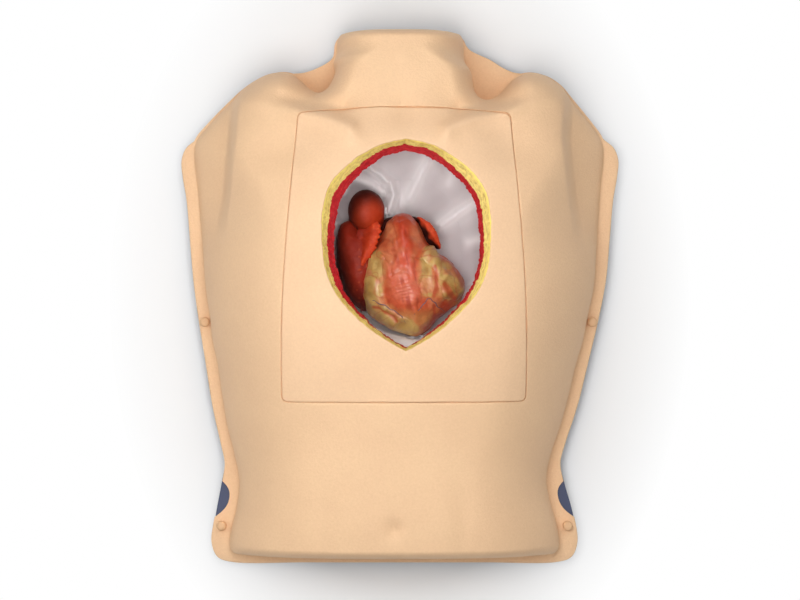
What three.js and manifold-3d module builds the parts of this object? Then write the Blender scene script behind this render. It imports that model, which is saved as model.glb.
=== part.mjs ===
// Heart surgery training model: a life-size supine torso shell that stands on a board, with a
// cut-open chest pad over a heart that lies in a cloth-lined tray.
// Millimetres. +X is the viewer's right, +Y points to the head, +Z is up. The origin is under
// the middle of the model, on the surface that it stands on.
import * as THREE from "three";
import { mergeVertices } from "three/addons/utils/BufferGeometryUtils.js";
import Module from "manifold-3d";

const wasm = await Module();
wasm.setup();

// Clearances
const SEAT_GAP = 0.3;          // between two pieces that rest on each other
const PEG_CLEARANCE = 0.4;     // around a peg's shank in its holes
const PAD_CLEARANCE = 0.5;     // around the chest pad in its recess

// Feet and board
const FOOT_HEIGHT = 8;
const FOOT_RADIUS = 12;
const FOOT_TOP_RADIUS = 14;
const FOOT_RECESS_DEPTH = 4;
const BOARD_THICKNESS = 12;
const FOOT_INSET = 31;         // feet and pegs are set in from the edge over them
const UPPER_FOOT_Y = 130;
const LOWER_FOOT_Y = -228;

// Torso shell
const FLANGE_THICKNESS = 3;
const SHELL_WALL = 3.2;
const CUT_END_RADIUS = 14;     // rounding over the neck's and the belly's cut ends
const PLAN_CORNER_RADIUS = 12;
const NECK_FLANGE = 8;         // how far the flange stands out past the neck's end
const BELLY_FLANGE = 9.5;      // and past the belly's
const LEDGE_WIDTH = 12;        // shelf round the chest window that carries the pad
const NOTCH_LENGTH = 36;       // finger notches in the flange
const NOTCH_DEPTH = 10;
const NOTCH_Y = -199;

// Pegs that hold the shell on the board
const PEG_HEAD_RADIUS = 4.9;
const PEG_HEAD_HEIGHT = 6.5;
const PEG_SHANK_RADIUS = 3;
const PEG_SHANK_DEPTH = 9;     // how far a peg goes into the board
const UPPER_PEG_Y = -22;
const LOWER_PEG_Y = -225.5;
const UPPER_PEG_INSET = 6.2;
const LOWER_PEG_INSET = 8.8;

// Chest pad: skin, fat and muscle
const SKIN_PROUD = 0.9;        // how far the pad stands above the shell round it
const SKIN_THICKNESS = 3;
const FAT_THICKNESS = 7;
const MUSCLE_THICKNESS = 5.5;
const INCISION_LENGTH = 198;
const INCISION_WIDTH = 157;
const INCISION_CENTRE_X = 5.4;
const INCISION_CENTRE_Y = 51.4;
const PAD_ABOVE_INCISION = 24;
const PAD_BELOW_INCISION = 48.4;
const PAD_TOP_WIDTH = 201;
const PAD_BOTTOM_WIDTH = 231;
const PAD_CORNER_RADIUS = 6;
const PAD_SHIFT = -1.4;        // middle line of the pad from that of the incision
const FAT_SHARE = 0.64;        // part of the sloping cut face that is fat; the rest is muscle

// Heart tray, its posts and screws
const TRAY_WALL = 3;
const TRAY_FLOOR_HEIGHT = 74;  // floor of the bowl above the board
const TRAY_DEPTH = 44;
const TRAY_HALF_WIDTH = 88;
const TRAY_HALF_LENGTH = 107;
const TRAY_FLOOR_SHARE = 0.62;
const TRAY_RIM = 9;
const LUG_WIDTH = 18;
const LUG_THICKNESS = 5;
const LUG_DROP = 30;           // lugs below the rim
const POST_RADIUS = 6.5;
const POST_REACH = 14;         // posts outside the rim
const POST_ANGLE = 47;         // degrees from the cross line
const SCREW_SHANK_RADIUS = 1.8;
const SCREW_HEAD_RADIUS = 3.8;
const SCREW_HEAD_HEIGHT = 2.4;
const SCREW_LENGTH = 16;
const SCREW_CLEARANCE = 0.35;

// Cloth that lines the tray
const CLOTH_THICKNESS = 1.4;
const CLOTH_FOLD = 6;
const CLOTH_OVERHANG = 16;

// Levels, from the ground up
const boardBottom = FOOT_HEIGHT + SEAT_GAP;
const boardTop = boardBottom + BOARD_THICKNESS;
const flangeBottom = boardTop + SEAT_GAP;
const flangeTop = flangeBottom + FLANGE_THICKNESS;
const trayFloor = boardTop + TRAY_FLOOR_HEIGHT;
const trayRimTop = trayFloor + TRAY_DEPTH;
const clothFloor = trayFloor + 2 * SEAT_GAP;
const heartBase = clothFloor + CLOTH_THICKNESS + SEAT_GAP;

const parts = new THREE.Group();

function clamp01(value) {
  return Math.min(1, Math.max(0, value));
}

function smooth(from, to, value) {
  const t = clamp01((value - from) / (to - from));
  return t * t * (3 - 2 * t);
}

function bump(x, y, atX, atY, radiusX, radiusY = radiusX) {
  return Math.exp(-(((x - atX) / radiusX) ** 2 + ((y - atY) / radiusY) ** 2));
}

// Distance from a point to a polyline
function distanceTo(line, x, y) {
  let best = Infinity;
  for (let i = 1; i < line.length; i++) {
    const [ax, ay] = line[i - 1];
    const [bx, by] = line[i];
    const dx = bx - ax;
    const dy = by - ay;
    const t = clamp01(((x - ax) * dx + (y - ay) * dy) / (dx * dx + dy * dy));
    best = Math.min(best, Math.hypot(x - ax - t * dx, y - ay - t * dy));
  }
  return best;
}

// Value of a table of [position, value] rows, joined smoothly
function along(table, position) {
  if (position <= table[0][0]) return table[0][1];
  for (let i = 1; i < table.length; i++) {
    const [from, low] = table[i - 1];
    const [to, high] = table[i];
    if (position <= to) return low + (high - low) * smooth(from, to, position);
  }
  return table[table.length - 1][1];
}

function curveThrough(points, count, closed) {
  const knots = points.map(([x, y]) => new THREE.Vector3(x, y, 0));
  const curve = new THREE.CatmullRomCurve3(knots, closed, "centripetal");
  const samples = curve.getSpacedPoints(count).map((p) => [p.x, p.y]);
  if (closed) samples.pop();
  return samples;
}

function toSolid(geometry) {
  const bare = geometry.clone();
  bare.deleteAttribute("normal");
  bare.deleteAttribute("uv");
  const merged = mergeVertices(bare, 1e-4);
  return new wasm.Manifold(new wasm.Mesh({
    numProp: 3,
    vertProperties: new Float32Array(merged.attributes.position.array),
    triVerts: new Uint32Array(merged.index.array),
  }));
}

function toGeometry(solid) {
  const mesh = solid.getMesh();
  const geometry = new THREE.BufferGeometry();
  geometry.setAttribute("position", new THREE.BufferAttribute(mesh.vertProperties, 3));
  geometry.setIndex(new THREE.BufferAttribute(mesh.triVerts, 1));
  return geometry;
}

function largestPiece(solid) {
  const pieces = solid.decompose();
  pieces.sort((a, b) => b.volume() - a.volume());
  return pieces[0];
}

// Six times the volume inside a closed mesh, negative where its faces point in
function signedVolume(positions, index) {
  const corner = (i) => new THREE.Vector3().fromArray(positions, 3 * index[i]);
  let volume = 0;
  for (let i = 0; i < index.length; i += 3) {
    volume += corner(i).dot(corner(i + 1).cross(corner(i + 2)));
  }
  return volume;
}

// Closed surface through a list of rings that have as many points each. With closed set, the last
// ring joins the first; otherwise the first and last entries are single end points. From the ring
// numbered turn on, the surface runs back under itself, with its facets split the same way.
function loft(rings, closed, turn = rings.length) {
  const sides = rings[1].length;
  const positions = [];
  const starts = [];
  for (const ring of rings) {
    starts.push(positions.length / 3);
    for (const point of ring) positions.push(...point);
  }
  const index = [];
  const last = closed ? rings.length : rings.length - 1;
  for (let r = 0; r < last; r++) {
    const next = (r + 1) % rings.length;
    for (let i = 0; i < sides; i++) {
      const j = (i + 1) % sides;
      const a = starts[r] + (rings[r].length > 1 ? i : 0);
      const b = starts[r] + (rings[r].length > 1 ? j : 0);
      const c = starts[next] + (rings[next].length > 1 ? j : 0);
      const d = starts[next] + (rings[next].length > 1 ? i : 0);
      const acrossFirst = r < turn || rings[r].length === 1 || rings[next].length === 1;
      if (acrossFirst) {
        if (a !== b) index.push(a, c, b);
        if (c !== d) index.push(a, d, c);
      } else {
        index.push(a, d, b, b, d, c);
      }
    }
  }
  if (signedVolume(positions, index) < 0) index.reverse();
  const geometry = new THREE.BufferGeometry();
  geometry.setAttribute("position", new THREE.Float32BufferAttribute(positions, 3));
  geometry.setIndex(index);
  return geometry;
}

function lathe(profile, segments) {
  const points = profile.map(([r, z]) => new THREE.Vector2(r, z));
  const geometry = new THREE.LatheGeometry(points, segments);
  geometry.rotateX(Math.PI / 2);
  return geometry;
}

function material(color, roughness, metalness = 0) {
  return new THREE.MeshStandardMaterial({ color, roughness, metalness });
}

function add(name, geometry, finish, x = 0, y = 0, z = 0) {
  const mesh = new THREE.Mesh(geometry, finish);
  mesh.name = name;
  mesh.position.set(x, y, z);
  parts.add(mesh);
}

// The heart's pieces are drawn about the middle of the incision, from the cloth up
function addToHeart(name, geometry, finish) {
  add(name, geometry, finish, INCISION_CENTRE_X, INCISION_CENTRE_Y, heartBase);
}

const skinPlastic = material(0xe3bd95, 0.55);
const boardPlastic = material(0x4a5a80, 0.5);
const rubber = material(0x202022, 0.9);
const steel = material(0xb8babc, 0.35, 0.9);
const trayPlastic = material(0xd8dadd, 0.5);
const padSkin = material(0xeabf9b, 0.6);
const fatYellow = material(0xe2c55a, 0.5);
const muscleRed = material(0xa11c22, 0.45);
const cloth = material(0xd9d3d8, 0.95);
const ventricleRed = material(0xd9664f, 0.3);
const epicardialFat = material(0xd6b878, 0.3);
const atriumRed = material(0x8c2c22, 0.4);
const appendageRed = material(0xc8432c, 0.35);
const veinBlue = material(0x6a5a78, 0.35);

// Plan outlines
// Half-widths are given for the right half and mirrored. The moulding leans a little to one side,
// so each height on the body has its own small shift of the middle line.
const BODY_LEAN = [[-262, -5.5], [-220, -5.5], [-165, -7.5], [-95, -4.5], [-34, -2], [20, -0.3],
  [154, -1], [196, 2], [213, 3.5], [232, 0.5]];
const FLANGE_LEAN = [[-262, -5.5], [-220, -5.5], [-165, -7.5], [-95, -4.5], [-34, -2], [20, -0.3],
  [154, 0], [196, 2], [222, 8]];

const BODY_SIDE = [[164, -300], [164, -262], [164.5, -240], [162.5, -227], [156.5, -205],
  [153, -180], [158, -152], [166, -125], [172.5, -95], [178.5, -64], [185, -38], [187.5, -20],
  [193, 11], [197, 61], [201, 111], [203, 148], [199, 161], [190, 172], [167, 196], [149, 212],
  [125, 220.5], [108, 217.5], [97, 209], [88, 202], [79, 202.5], [73, 207.5], [68, 218],
  [65, 231], [63, 244], [63, 262], [63, 300]];

const FLANGE_SIDE = [[0, -262.5], [90, -262.5], [163, -262], [177, -257], [183, -243],
  [181, -222], [175, -200], [170.5, -180], [169, -163], [173, -143], [179, -120], [184, -100],
  [192, -60], [200, -20], [206.5, 20], [210, 60], [213.5, 100], [217.5, 124], [218.5, 140],
  [214, 152], [202, 163], [172, 199], [152, 217], [128, 225], [112, 223], [96, 230], [83, 240],
  [67, 250], [50, 257.5], [28, 262.5], [0, 264]];

const BOARD_SIDE = [[0, -262.5], [90, -262.5], [163, -262], [177, -257], [183, -243],
  [180.5, -215], [173.5, -163], [181, -120], [188, -90], [201, -20], [206.5, 20], [210, 60],
  [213.5, 100], [217.5, 124], [218.5, 140], [214, 152], [202, 163], [172, 199], [152, 217],
  [128, 225], [112, 223], [96, 230], [83, 240], [67, 250], [50, 257.5], [28, 262.5], [0, 264]];

function closedOutline(side, lean, count) {
  const right = side.map(([x, y]) => [x + along(lean, y), y]);
  const left = side.slice(1, -1).reverse().map(([x, y]) => [along(lean, y) - x, y]);
  return curveThrough([...right, ...left], count, true);
}

const neckEnd = FLANGE_SIDE[FLANGE_SIDE.length - 1][1] - NECK_FLANGE;
const bellyEnd = FLANGE_SIDE[0][1] + BELLY_FLANGE;
const flangeOutline = closedOutline(FLANGE_SIDE, FLANGE_LEAN, 240);
const boardOutline = closedOutline(BOARD_SIDE, FLANGE_LEAN, 76);
const bodySides = [1, -1].map((sign) => (
  curveThrough(BODY_SIDE, 160, false).map(([x, y]) => [sign * x + along(BODY_LEAN, y), y])
));

// The body's foot on the flange: its two sides, joined by the cut ends with rounded corners
function bodyOutline() {
  const corner = PLAN_CORNER_RADIUS;
  const inside = ([, y]) => y > bellyEnd + corner && y < neckEnd - corner;
  const [right, left] = bodySides.map((side) => side.filter(inside));
  const round = (from, to, y, edge) => [0.25, 0.5, 0.75, 1].map((t) => {
    const angle = t * Math.PI / 2;
    return [from + (to - from) * (1 - Math.cos(angle)), y + (edge - y) * Math.sin(angle)];
  });
  const topRight = right[right.length - 1];
  const topLeft = left[left.length - 1];
  return [
    ...right,
    ...round(topRight[0], topRight[0] - corner, topRight[1], neckEnd),
    ...round(topLeft[0], topLeft[0] + corner, topLeft[1], neckEnd).reverse(),
    ...left.reverse(),
    ...round(left[left.length - 1][0], left[left.length - 1][0] + corner,
      left[left.length - 1][1], bellyEnd),
    ...round(right[0][0], right[0][0] - corner, right[0][1], bellyEnd).reverse(),
  ];
}

// Height of the body above the flange
const CREST = [[-253, 108], [-219, 114], [-150, 124], [-100, 137], [-55, 151], [0, 163],
  [60, 166.5], [110, 160], [150, 147], [186, 128], [215, 121], [256, 117]];
const ROUNDING = [[-253, 70], [-180, 80], [60, 88], [150, 46], [215, 44], [240, 56]];
const SQUARENESS = [[-253, 2.2], [20, 2.2], [85, 1.45], [135, 1.45], [185, 2.3], [240, 2.1]];

function rounded(distance, radius, power) {
  return (1 - (1 - clamp01(distance / radius)) ** power) ** (1 / power);
}

function ridge(x, y, path, width) {
  return Math.exp(-((distanceTo(path, x, y) / width) ** 2));
}

const CLAVICLE = [[150, 190], [122, 186], [98, 176], [70, 168], [46, 157]];
const NECK_MUSCLE = [[46, 262], [36, 232], [22, 204], [12, 184]];
const RIB_ARCH = [[12, -62], [48, -104], [96, -146], [140, -168]];

function bodyHeight(x, y) {
  const across = Math.abs(x - along(BODY_LEAN, y));
  let top = along(CREST, y) - 14 * (across / 100) ** 2.5;
  top += 7 * ridge(across, y, CLAVICLE, 10);
  top += 4 * ridge(across, y, NECK_MUSCLE, 9);
  top += 9 * bump(across, y, 134, 184, 34, 30);
  top += 5 * bump(across, y, 72, 70, 46, 52);
  top -= 7 * bump(across, y, 106, 146, 26, 22);
  top -= 7 * bump(across, y, 48, 190, 17, 14);
  top -= 8 * bump(across, y, 0, 186, 13, 12);
  top += 3 * bump(across, y, 0, 232, 12, 20);
  top -= 3 * ridge(across, y, RIB_ARCH, 26);
  top -= 1.6 * bump(across, y, 66, -215, 10, 42);
  top -= 3.5 * bump(across, y, 0, -219, 9);
  const side = Math.min(...bodySides.map((line) => distanceTo(line, x, y)));
  return top * rounded(side, along(ROUNDING, y), along(SQUARENESS, y))
    * rounded(neckEnd - y, CUT_END_RADIUS, 2.4)
    * rounded(y - bellyEnd, CUT_END_RADIUS, 2.4);
}

// Chest window and incision
const CENTRE = [INCISION_CENTRE_X, INCISION_CENTRE_Y];
const padTopY = INCISION_CENTRE_Y + INCISION_LENGTH / 2 + PAD_ABOVE_INCISION;
const padBottomY = INCISION_CENTRE_Y - INCISION_LENGTH / 2 - PAD_BELOW_INCISION;
const padMiddleX = INCISION_CENTRE_X + PAD_SHIFT;

function padOutline(grow) {
  const shape = new THREE.Shape();
  const top = padTopY + grow;
  const bottom = padBottomY - grow;
  const r = Math.max(1, PAD_CORNER_RADIUS + grow);
  const upper = PAD_TOP_WIDTH / 2 + grow;
  const lower = PAD_BOTTOM_WIDTH / 2 + grow;
  const middle = lower + 0.5;
  const waist = bottom + (top - bottom) * 0.35;
  shape.moveTo(0, bottom - 1);
  shape.lineTo(lower - r, bottom);
  shape.quadraticCurveTo(lower, bottom, lower, bottom + r);
  shape.bezierCurveTo(middle, waist, middle - 4, waist + 30, upper, top - r);
  shape.quadraticCurveTo(upper, top, upper - r, top);
  shape.lineTo(0, top);
  const right = shape.getPoints(16).map((p) => [p.x, p.y]);
  const left = right.slice(1, -1).reverse().map(([x, y]) => [-x, y]);
  return [...right, ...left].map(([x, y]) => [x + padMiddleX, y]);
}

// Pointed oval with a blunt apex at the top and a sharper one at the bottom, as shares of half the
// incision's width and length
const INCISION_SIDE = [[0, 1], [0.31, 0.94], [0.67, 0.77], [0.92, 0.545], [1, 0.28], [1, 0],
  [0.96, -0.238], [0.834, -0.463], [0.578, -0.687], [0.28, -0.875], [0, -1]];

// How far the cut slopes in from the skin to the muscle, by the angle up from the cross line
const CUT_SLOPE = [[-90, 3], [-70, 4.6], [-45, 6.4], [-20, 8.8], [0, 9.2], [15, 11.5], [50, 13.5],
  [70, 11.5], [90, 9.8]];

const incisionOutline = (() => {
  const side = curveThrough(INCISION_SIDE, 60, false)
    .map(([x, y]) => [x * INCISION_WIDTH / 2, y * INCISION_LENGTH / 2]);
  return [...side, ...side.slice(1, -1).reverse().map(([x, y]) => [-x, y])];
})();

function incisionPoint(angle, share) {
  const degrees = THREE.MathUtils.radToDeg(Math.asin(Math.sin(angle)));
  const [x, y] = rayHit(incisionOutline, angle, [0, 0]);
  const reach = Math.hypot(x, y) - share * along(CUT_SLOPE, degrees);
  return [CENTRE[0] + reach * Math.cos(angle), CENTRE[1] + reach * Math.sin(angle)];
}

// Where a ray, from the incision's centre unless told otherwise, leaves a closed outline
function rayHit(outline, angle, from = CENTRE) {
  const dx = Math.cos(angle);
  const dy = Math.sin(angle);
  let reach = 0;
  for (let i = 0; i < outline.length; i++) {
    const [ax, ay] = outline[i];
    const [bx, by] = outline[(i + 1) % outline.length];
    const ex = bx - ax;
    const ey = by - ay;
    const det = ex * dy - ey * dx;
    if (Math.abs(det) < 1e-9) continue;
    const px = ax - from[0];
    const py = ay - from[1];
    const t = (ex * py - ey * px) / det;
    const u = (dx * py - dy * px) / det;
    if (u >= 0 && u <= 1 && t > reach) reach = t;
  }
  return [from[0] + dx * reach, from[1] + dy * reach];
}

// Rays that the shell and the pad share: even steps along the body's foot, closer round the neck,
// with one ray through each apex of the incision and each corner of the pad
const SPOKES = 70;

function spokeAngles() {
  const foot = bodyOutline();
  const steps = [0];
  for (let i = 1; i <= foot.length; i++) {
    const [ax, ay] = foot[i - 1];
    const [bx, by] = foot[i % foot.length];
    const weight = (ay + by) / 2 > 190 && Math.abs(ax) < 105 ? 1.9 : 1;
    steps.push(steps[i - 1] + weight * Math.hypot(bx - ax, by - ay));
  }
  const angles = [];
  const total = steps[foot.length];
  for (let k = 0, i = 0; k < SPOKES; k++) {
    const target = total * k / SPOKES;
    while (steps[i + 1] < target) i++;
    const t = (target - steps[i]) / (steps[i + 1] - steps[i]);
    const [ax, ay] = foot[i];
    const [bx, by] = foot[(i + 1) % foot.length];
    angles.push(Math.atan2(ay + (by - ay) * t - CENTRE[1], ax + (bx - ax) * t - CENTRE[0]));
  }
  const corners = [[PAD_TOP_WIDTH, padTopY], [-PAD_TOP_WIDTH, padTopY],
    [PAD_BOTTOM_WIDTH, padBottomY], [-PAD_BOTTOM_WIDTH, padBottomY]]
    .map(([width, y]) => Math.atan2(y - CENTRE[1], width / 2 + PAD_SHIFT));
  for (const wanted of [Math.PI / 2, -Math.PI / 2, ...corners]) {
    const away = (a) => Math.abs(Math.atan2(Math.sin(a - wanted), Math.cos(a - wanted)));
    let nearest = 0;
    angles.forEach((a, i) => { if (away(a) < away(angles[nearest])) nearest = i; });
    angles[nearest] = wanted;
  }
  return angles;
}

const spokes = spokeAngles();
const footRing = spokes.map((a) => rayHit(bodyOutline(), a));
const flangeRing = spokes.map((a) => rayHit(flangeOutline, a));
const recessRing = spokes.map((a) => rayHit(padOutline(PAD_CLEARANCE), a));
const padRing = spokes.map((a) => rayHit(padOutline(0), a));
const windowRing = spokes.map((a) => rayHit(padOutline(-LEDGE_WIDTH), a));
const layerRing = spokes.map((a) => rayHit(padOutline(-LEDGE_WIDTH - PAD_CLEARANCE), a));

// Edge of the cut: share 0 is the skin's edge and share 1 the muscle's
function incisionRing(share) {
  return spokes.map((angle) => incisionPoint(angle, share));
}

function between(ringA, ringB, t) {
  return ringA.map(([x, y], i) => [x + (ringB[i][0] - x) * t, y + (ringB[i][1] - y) * t]);
}

function lifted(ring, level) {
  return ring.map(([x, y]) => [x, y, level(x, y)]);
}

// Body height on the shelf round the window, which runs straight between its two edges
function shelfHeight(spoke, x, y) {
  const [ax, ay] = recessRing[spoke];
  const [bx, by] = windowRing[spoke];
  const t = Math.hypot(x - ax, y - ay) / Math.hypot(bx - ax, by - ay);
  return bodyHeight(ax, ay) * (1 - t) + bodyHeight(bx, by) * t;
}

// Torso shell
const SHELL_RINGS = 11;

function shellGeometry() {
  const surface = (x, y) => flangeTop + bodyHeight(x, y);
  const outer = [];
  for (let k = 0; k <= SHELL_RINGS; k++) {
    const ring = between(footRing, recessRing, (k / SHELL_RINGS) ** 1.75);
    outer.push(k === 0 ? lifted(ring, () => flangeTop) : lifted(ring, surface));
  }
  // The inner face follows the outer one at the wall's thickness, square to it
  const normalAt = (x, y) => {
    const step = 0.6;
    const dx = (bodyHeight(x + step, y) - bodyHeight(x - step, y)) / (2 * step);
    const dy = (bodyHeight(x, y + step) - bodyHeight(x, y - step)) / (2 * step);
    return new THREE.Vector3(-dx, -dy, 1).normalize();
  };
  const inner = outer.map((ring) => ring.map(([x, y, z]) => {
    const n = normalAt(x, y);
    return [x - n.x * SHELL_WALL, y - n.y * SHELL_WALL, z - n.z * SHELL_WALL];
  }));
  inner[0] = inner[0].map(([x, y]) => [x, y, flangeBottom]);
  const recessFloor = (x, y) => surface(x, y) + SKIN_PROUD - SKIN_THICKNESS - SEAT_GAP;
  const ledgeUnder = (x, y) => recessFloor(x, y) - SHELL_WALL;
  const underLedge = between(recessRing, footRing, 0.03);
  const face = [
    lifted(flangeRing, () => flangeTop),
    ...outer,
    lifted(recessRing, recessFloor),
    lifted(windowRing, recessFloor),
  ];
  const back = [
    lifted(windowRing, ledgeUnder),
    lifted(underLedge, ledgeUnder),
    ...inner.slice(0, -1).reverse(),
    lifted(flangeRing, () => flangeBottom),
  ];
  return loft([...face, ...back], true, face.length);
}

function shapeOf(outline) {
  return new THREE.Shape(outline.map(([x, y]) => new THREE.Vector2(x, y)));
}

function slab(outline, depth, z) {
  const geometry = new THREE.ExtrudeGeometry(shapeOf(outline), { depth, bevelEnabled: false });
  geometry.translate(0, 0, z);
  return geometry;
}

function pin(x, y, radius, bottom, top, segments = 14) {
  const geometry = lathe([[0, bottom], [radius, bottom], [radius, top], [0, top]], segments);
  geometry.translate(x, y, 0);
  return toSolid(geometry);
}

// A place set in from the edge of an outline, on the right for sign 1 and on the left for -1
function setIn(outline, sign, y, inset) {
  const [edge] = rayHit(outline, sign > 0 ? 0 : Math.PI, [0, y]);
  return [edge - sign * inset, y];
}

const pegPlaces = [
  ["peg_upper_left", ...setIn(flangeOutline, -1, UPPER_PEG_Y, UPPER_PEG_INSET)],
  ["peg_upper_right", ...setIn(flangeOutline, 1, UPPER_PEG_Y, UPPER_PEG_INSET)],
  ["peg_lower_left", ...setIn(flangeOutline, -1, LOWER_PEG_Y, LOWER_PEG_INSET)],
  ["peg_lower_right", ...setIn(flangeOutline, 1, LOWER_PEG_Y, LOWER_PEG_INSET)],
];

// Scoop in the flange's edge, for the fingers that lift the shell
function notchSolid(sign) {
  const [edge] = setIn(flangeOutline, sign, NOTCH_Y, 0);
  const inner = edge - sign * NOTCH_DEPTH;
  const outer = edge + sign * NOTCH_DEPTH * 2;
  const half = NOTCH_LENGTH / 2;
  const scoop = curveThrough([[outer, NOTCH_Y + half + 10], [edge, NOTCH_Y + half],
    [inner + sign * 2, NOTCH_Y + half * 0.45], [inner, NOTCH_Y], [inner + sign * 2.5,
      NOTCH_Y - half * 0.5], [edge, NOTCH_Y - half], [outer, NOTCH_Y - half - 10]], 24, false);
  if (sign < 0) scoop.reverse();
  return toSolid(slab(scoop, FLANGE_THICKNESS * 3, flangeBottom - FLANGE_THICKNESS));
}

function torsoShell() {
  let shell = toSolid(shellGeometry());
  for (const [, x, y] of pegPlaces) {
    const hole = pin(x, y, PEG_SHANK_RADIUS + PEG_CLEARANCE, flangeBottom - 1, flangeTop + 1);
    shell = shell.subtract(hole);
  }
  for (const sign of [1, -1]) shell = shell.subtract(notchSolid(sign));
  return largestPiece(shell);
}

add("torso_shell", toGeometry(torsoShell()), skinPlastic);

// Base board, with holes for the pegs, the feet's screws and the posts' screws
const [trayX, trayY] = CENTRE;
const postAngles = [POST_ANGLE, 180 - POST_ANGLE, 180 + POST_ANGLE, -POST_ANGLE]
  .map(THREE.MathUtils.degToRad);
const postPlaces = postAngles.map((angle) => bowlPoint(angle, 1, TRAY_RIM + POST_REACH));
const footPlaces = [[1, UPPER_FOOT_Y], [-1, UPPER_FOOT_Y], [-1, LOWER_FOOT_Y], [1, LOWER_FOOT_Y]]
  .map(([sign, y]) => setIn(boardOutline, sign, y, FOOT_INSET));

function baseBoard() {
  let board = toSolid(slab(boardOutline, BOARD_THICKNESS, boardBottom));
  const pegHole = PEG_SHANK_RADIUS + PEG_CLEARANCE;
  const screwHole = SCREW_SHANK_RADIUS + SCREW_CLEARANCE;
  const headHole = SCREW_HEAD_RADIUS + SCREW_CLEARANCE;
  for (const [, x, y] of pegPlaces) {
    board = board.subtract(pin(x, y, pegHole, boardBottom - 1, boardTop + 1));
  }
  for (const [x, y] of postPlaces) {
    board = board.subtract(pin(x, y, screwHole, boardBottom - 1, boardTop + 1, 10));
    const pocket = boardBottom + SCREW_HEAD_HEIGHT + SEAT_GAP;
    board = board.subtract(pin(x, y, headHole, boardBottom - 1, pocket, 10));
  }
  for (const [x, y] of footPlaces) {
    const depth = boardBottom + SCREW_LENGTH - (FOOT_HEIGHT - FOOT_RECESS_DEPTH) + 1;
    board = board.subtract(pin(x, y, screwHole, boardBottom - 1, Math.min(depth, boardTop - 1.5), 10));
  }
  return board;
}

add("base_board", toGeometry(baseBoard()), boardPlastic);

// Screw with a domed head, head down: z = 0 is the underside of the head, the shank goes up
function screwGeometry(length) {
  const r = SCREW_HEAD_RADIUS;
  const h = SCREW_HEAD_HEIGHT;
  return lathe([[0, -h], [r * 0.6, -h * 0.92], [r * 0.93, -h * 0.5], [r, 0],
    [SCREW_SHANK_RADIUS, 0], [SCREW_SHANK_RADIUS, length - 1.5], [0, length]], 8);
}

const CORNERS = ["upper_right", "upper_left", "lower_left", "lower_right"];
const footBore = SCREW_SHANK_RADIUS + SCREW_CLEARANCE;
const footRecess = SCREW_HEAD_RADIUS + SCREW_CLEARANCE;
footPlaces.forEach(([x, y], i) => {
  const foot = lathe([[footRecess, 0], [FOOT_RADIUS - 1.5, 0], [FOOT_RADIUS, 1.5],
    [FOOT_TOP_RADIUS, FOOT_HEIGHT], [footBore, FOOT_HEIGHT], [footBore, FOOT_RECESS_DEPTH],
    [footRecess, FOOT_RECESS_DEPTH], [footRecess, 0]], 12);
  add(`foot_${CORNERS[i]}`, foot, rubber, x, y, 0);
  const screw = screwGeometry(Math.min(SCREW_LENGTH, boardTop - FOOT_RECESS_DEPTH) - 2);
  add(`foot_screw_${CORNERS[i]}`, screw, steel, x, y, FOOT_RECESS_DEPTH - SEAT_GAP);
});

// Pegs: a domed head on a shank with a tapered tip. They hang on the shell
for (const [name, x, y] of pegPlaces) {
  const head = flangeTop + SEAT_GAP;
  const tip = boardTop - PEG_SHANK_DEPTH;
  const r = PEG_HEAD_RADIUS;
  const h = PEG_HEAD_HEIGHT;
  add(name, lathe([[0, tip], [PEG_SHANK_RADIUS * 0.6, tip], [PEG_SHANK_RADIUS, tip + 2],
    [PEG_SHANK_RADIUS, head], [r, head], [r, head + h * 0.72], [r * 0.92, head + h * 0.88],
    [r * 0.7, head + h * 0.97], [0, head + h]], 14), skinPlastic, x, y, 0);
}

// Chest pad: three layers with the incision's sloping cut faces
const padTop = (x, y) => flangeTop + bodyHeight(x, y) + SKIN_PROUD;
const skinUnder = (x, y) => padTop(x, y) - SKIN_THICKNESS;
const fatTop = (x, y) => skinUnder(x, y) - SEAT_GAP;
const fatUnder = (x, y) => fatTop(x, y) - FAT_THICKNESS;
const muscleTop = (x, y) => fatUnder(x, y) - SEAT_GAP;
const muscleUnder = (x, y) => muscleTop(x, y) - MUSCLE_THICKNESS;
const skinEdge = incisionRing(0);
const fatEdge = incisionRing(FAT_SHARE);
const muscleEdge = incisionRing(1);

// A layer from its outer ring to its cut edge, which is narrower below than above
function padLayer(outer, cutTop, cutUnder, top, under, steps) {
  const rings = [];
  for (const t of steps) rings.push(lifted(between(outer, cutTop, t), top));
  for (const t of [...steps].reverse()) rings.push(lifted(between(outer, cutUnder, t), under));
  return loft(rings, true, steps.length);
}

const softEdge = padRing.map(([x, y]) => [
  x + (CENTRE[0] - x) * 0.012,
  y + (CENTRE[1] - y) * 0.012,
]);
const skinRings = [
  lifted(padRing, (x, y) => padTop(x, y) - 1),
  lifted(softEdge, padTop),
  ...[0.2, 0.6, 1].map((t) => lifted(between(softEdge, skinEdge, t), padTop)),
  ...[1, 0.5, 0].map((t) => lifted(between(layerRing, skinEdge, t), skinUnder)),
  lifted(windowRing, skinUnder),
  padRing.map(([x, y], i) => (
    [x, y, flangeTop + shelfHeight(i, x, y) + SKIN_PROUD - SKIN_THICKNESS]
  )),
];
add("chest_skin_pad", loft(skinRings, true, 5), padSkin);

add("fat_layer", padLayer(layerRing, skinEdge, fatEdge, fatTop, fatUnder, [0, 0.5, 1]), fatYellow);
add("muscle_layer", padLayer(layerRing, fatEdge, muscleEdge, muscleTop, muscleUnder, [0, 0.5, 1]),
  muscleRed);

// Heart tray: a bowl with a flat floor and a rolled rim, carried on four posts by its lugs
const BOWL_SIDES = 32;

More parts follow.
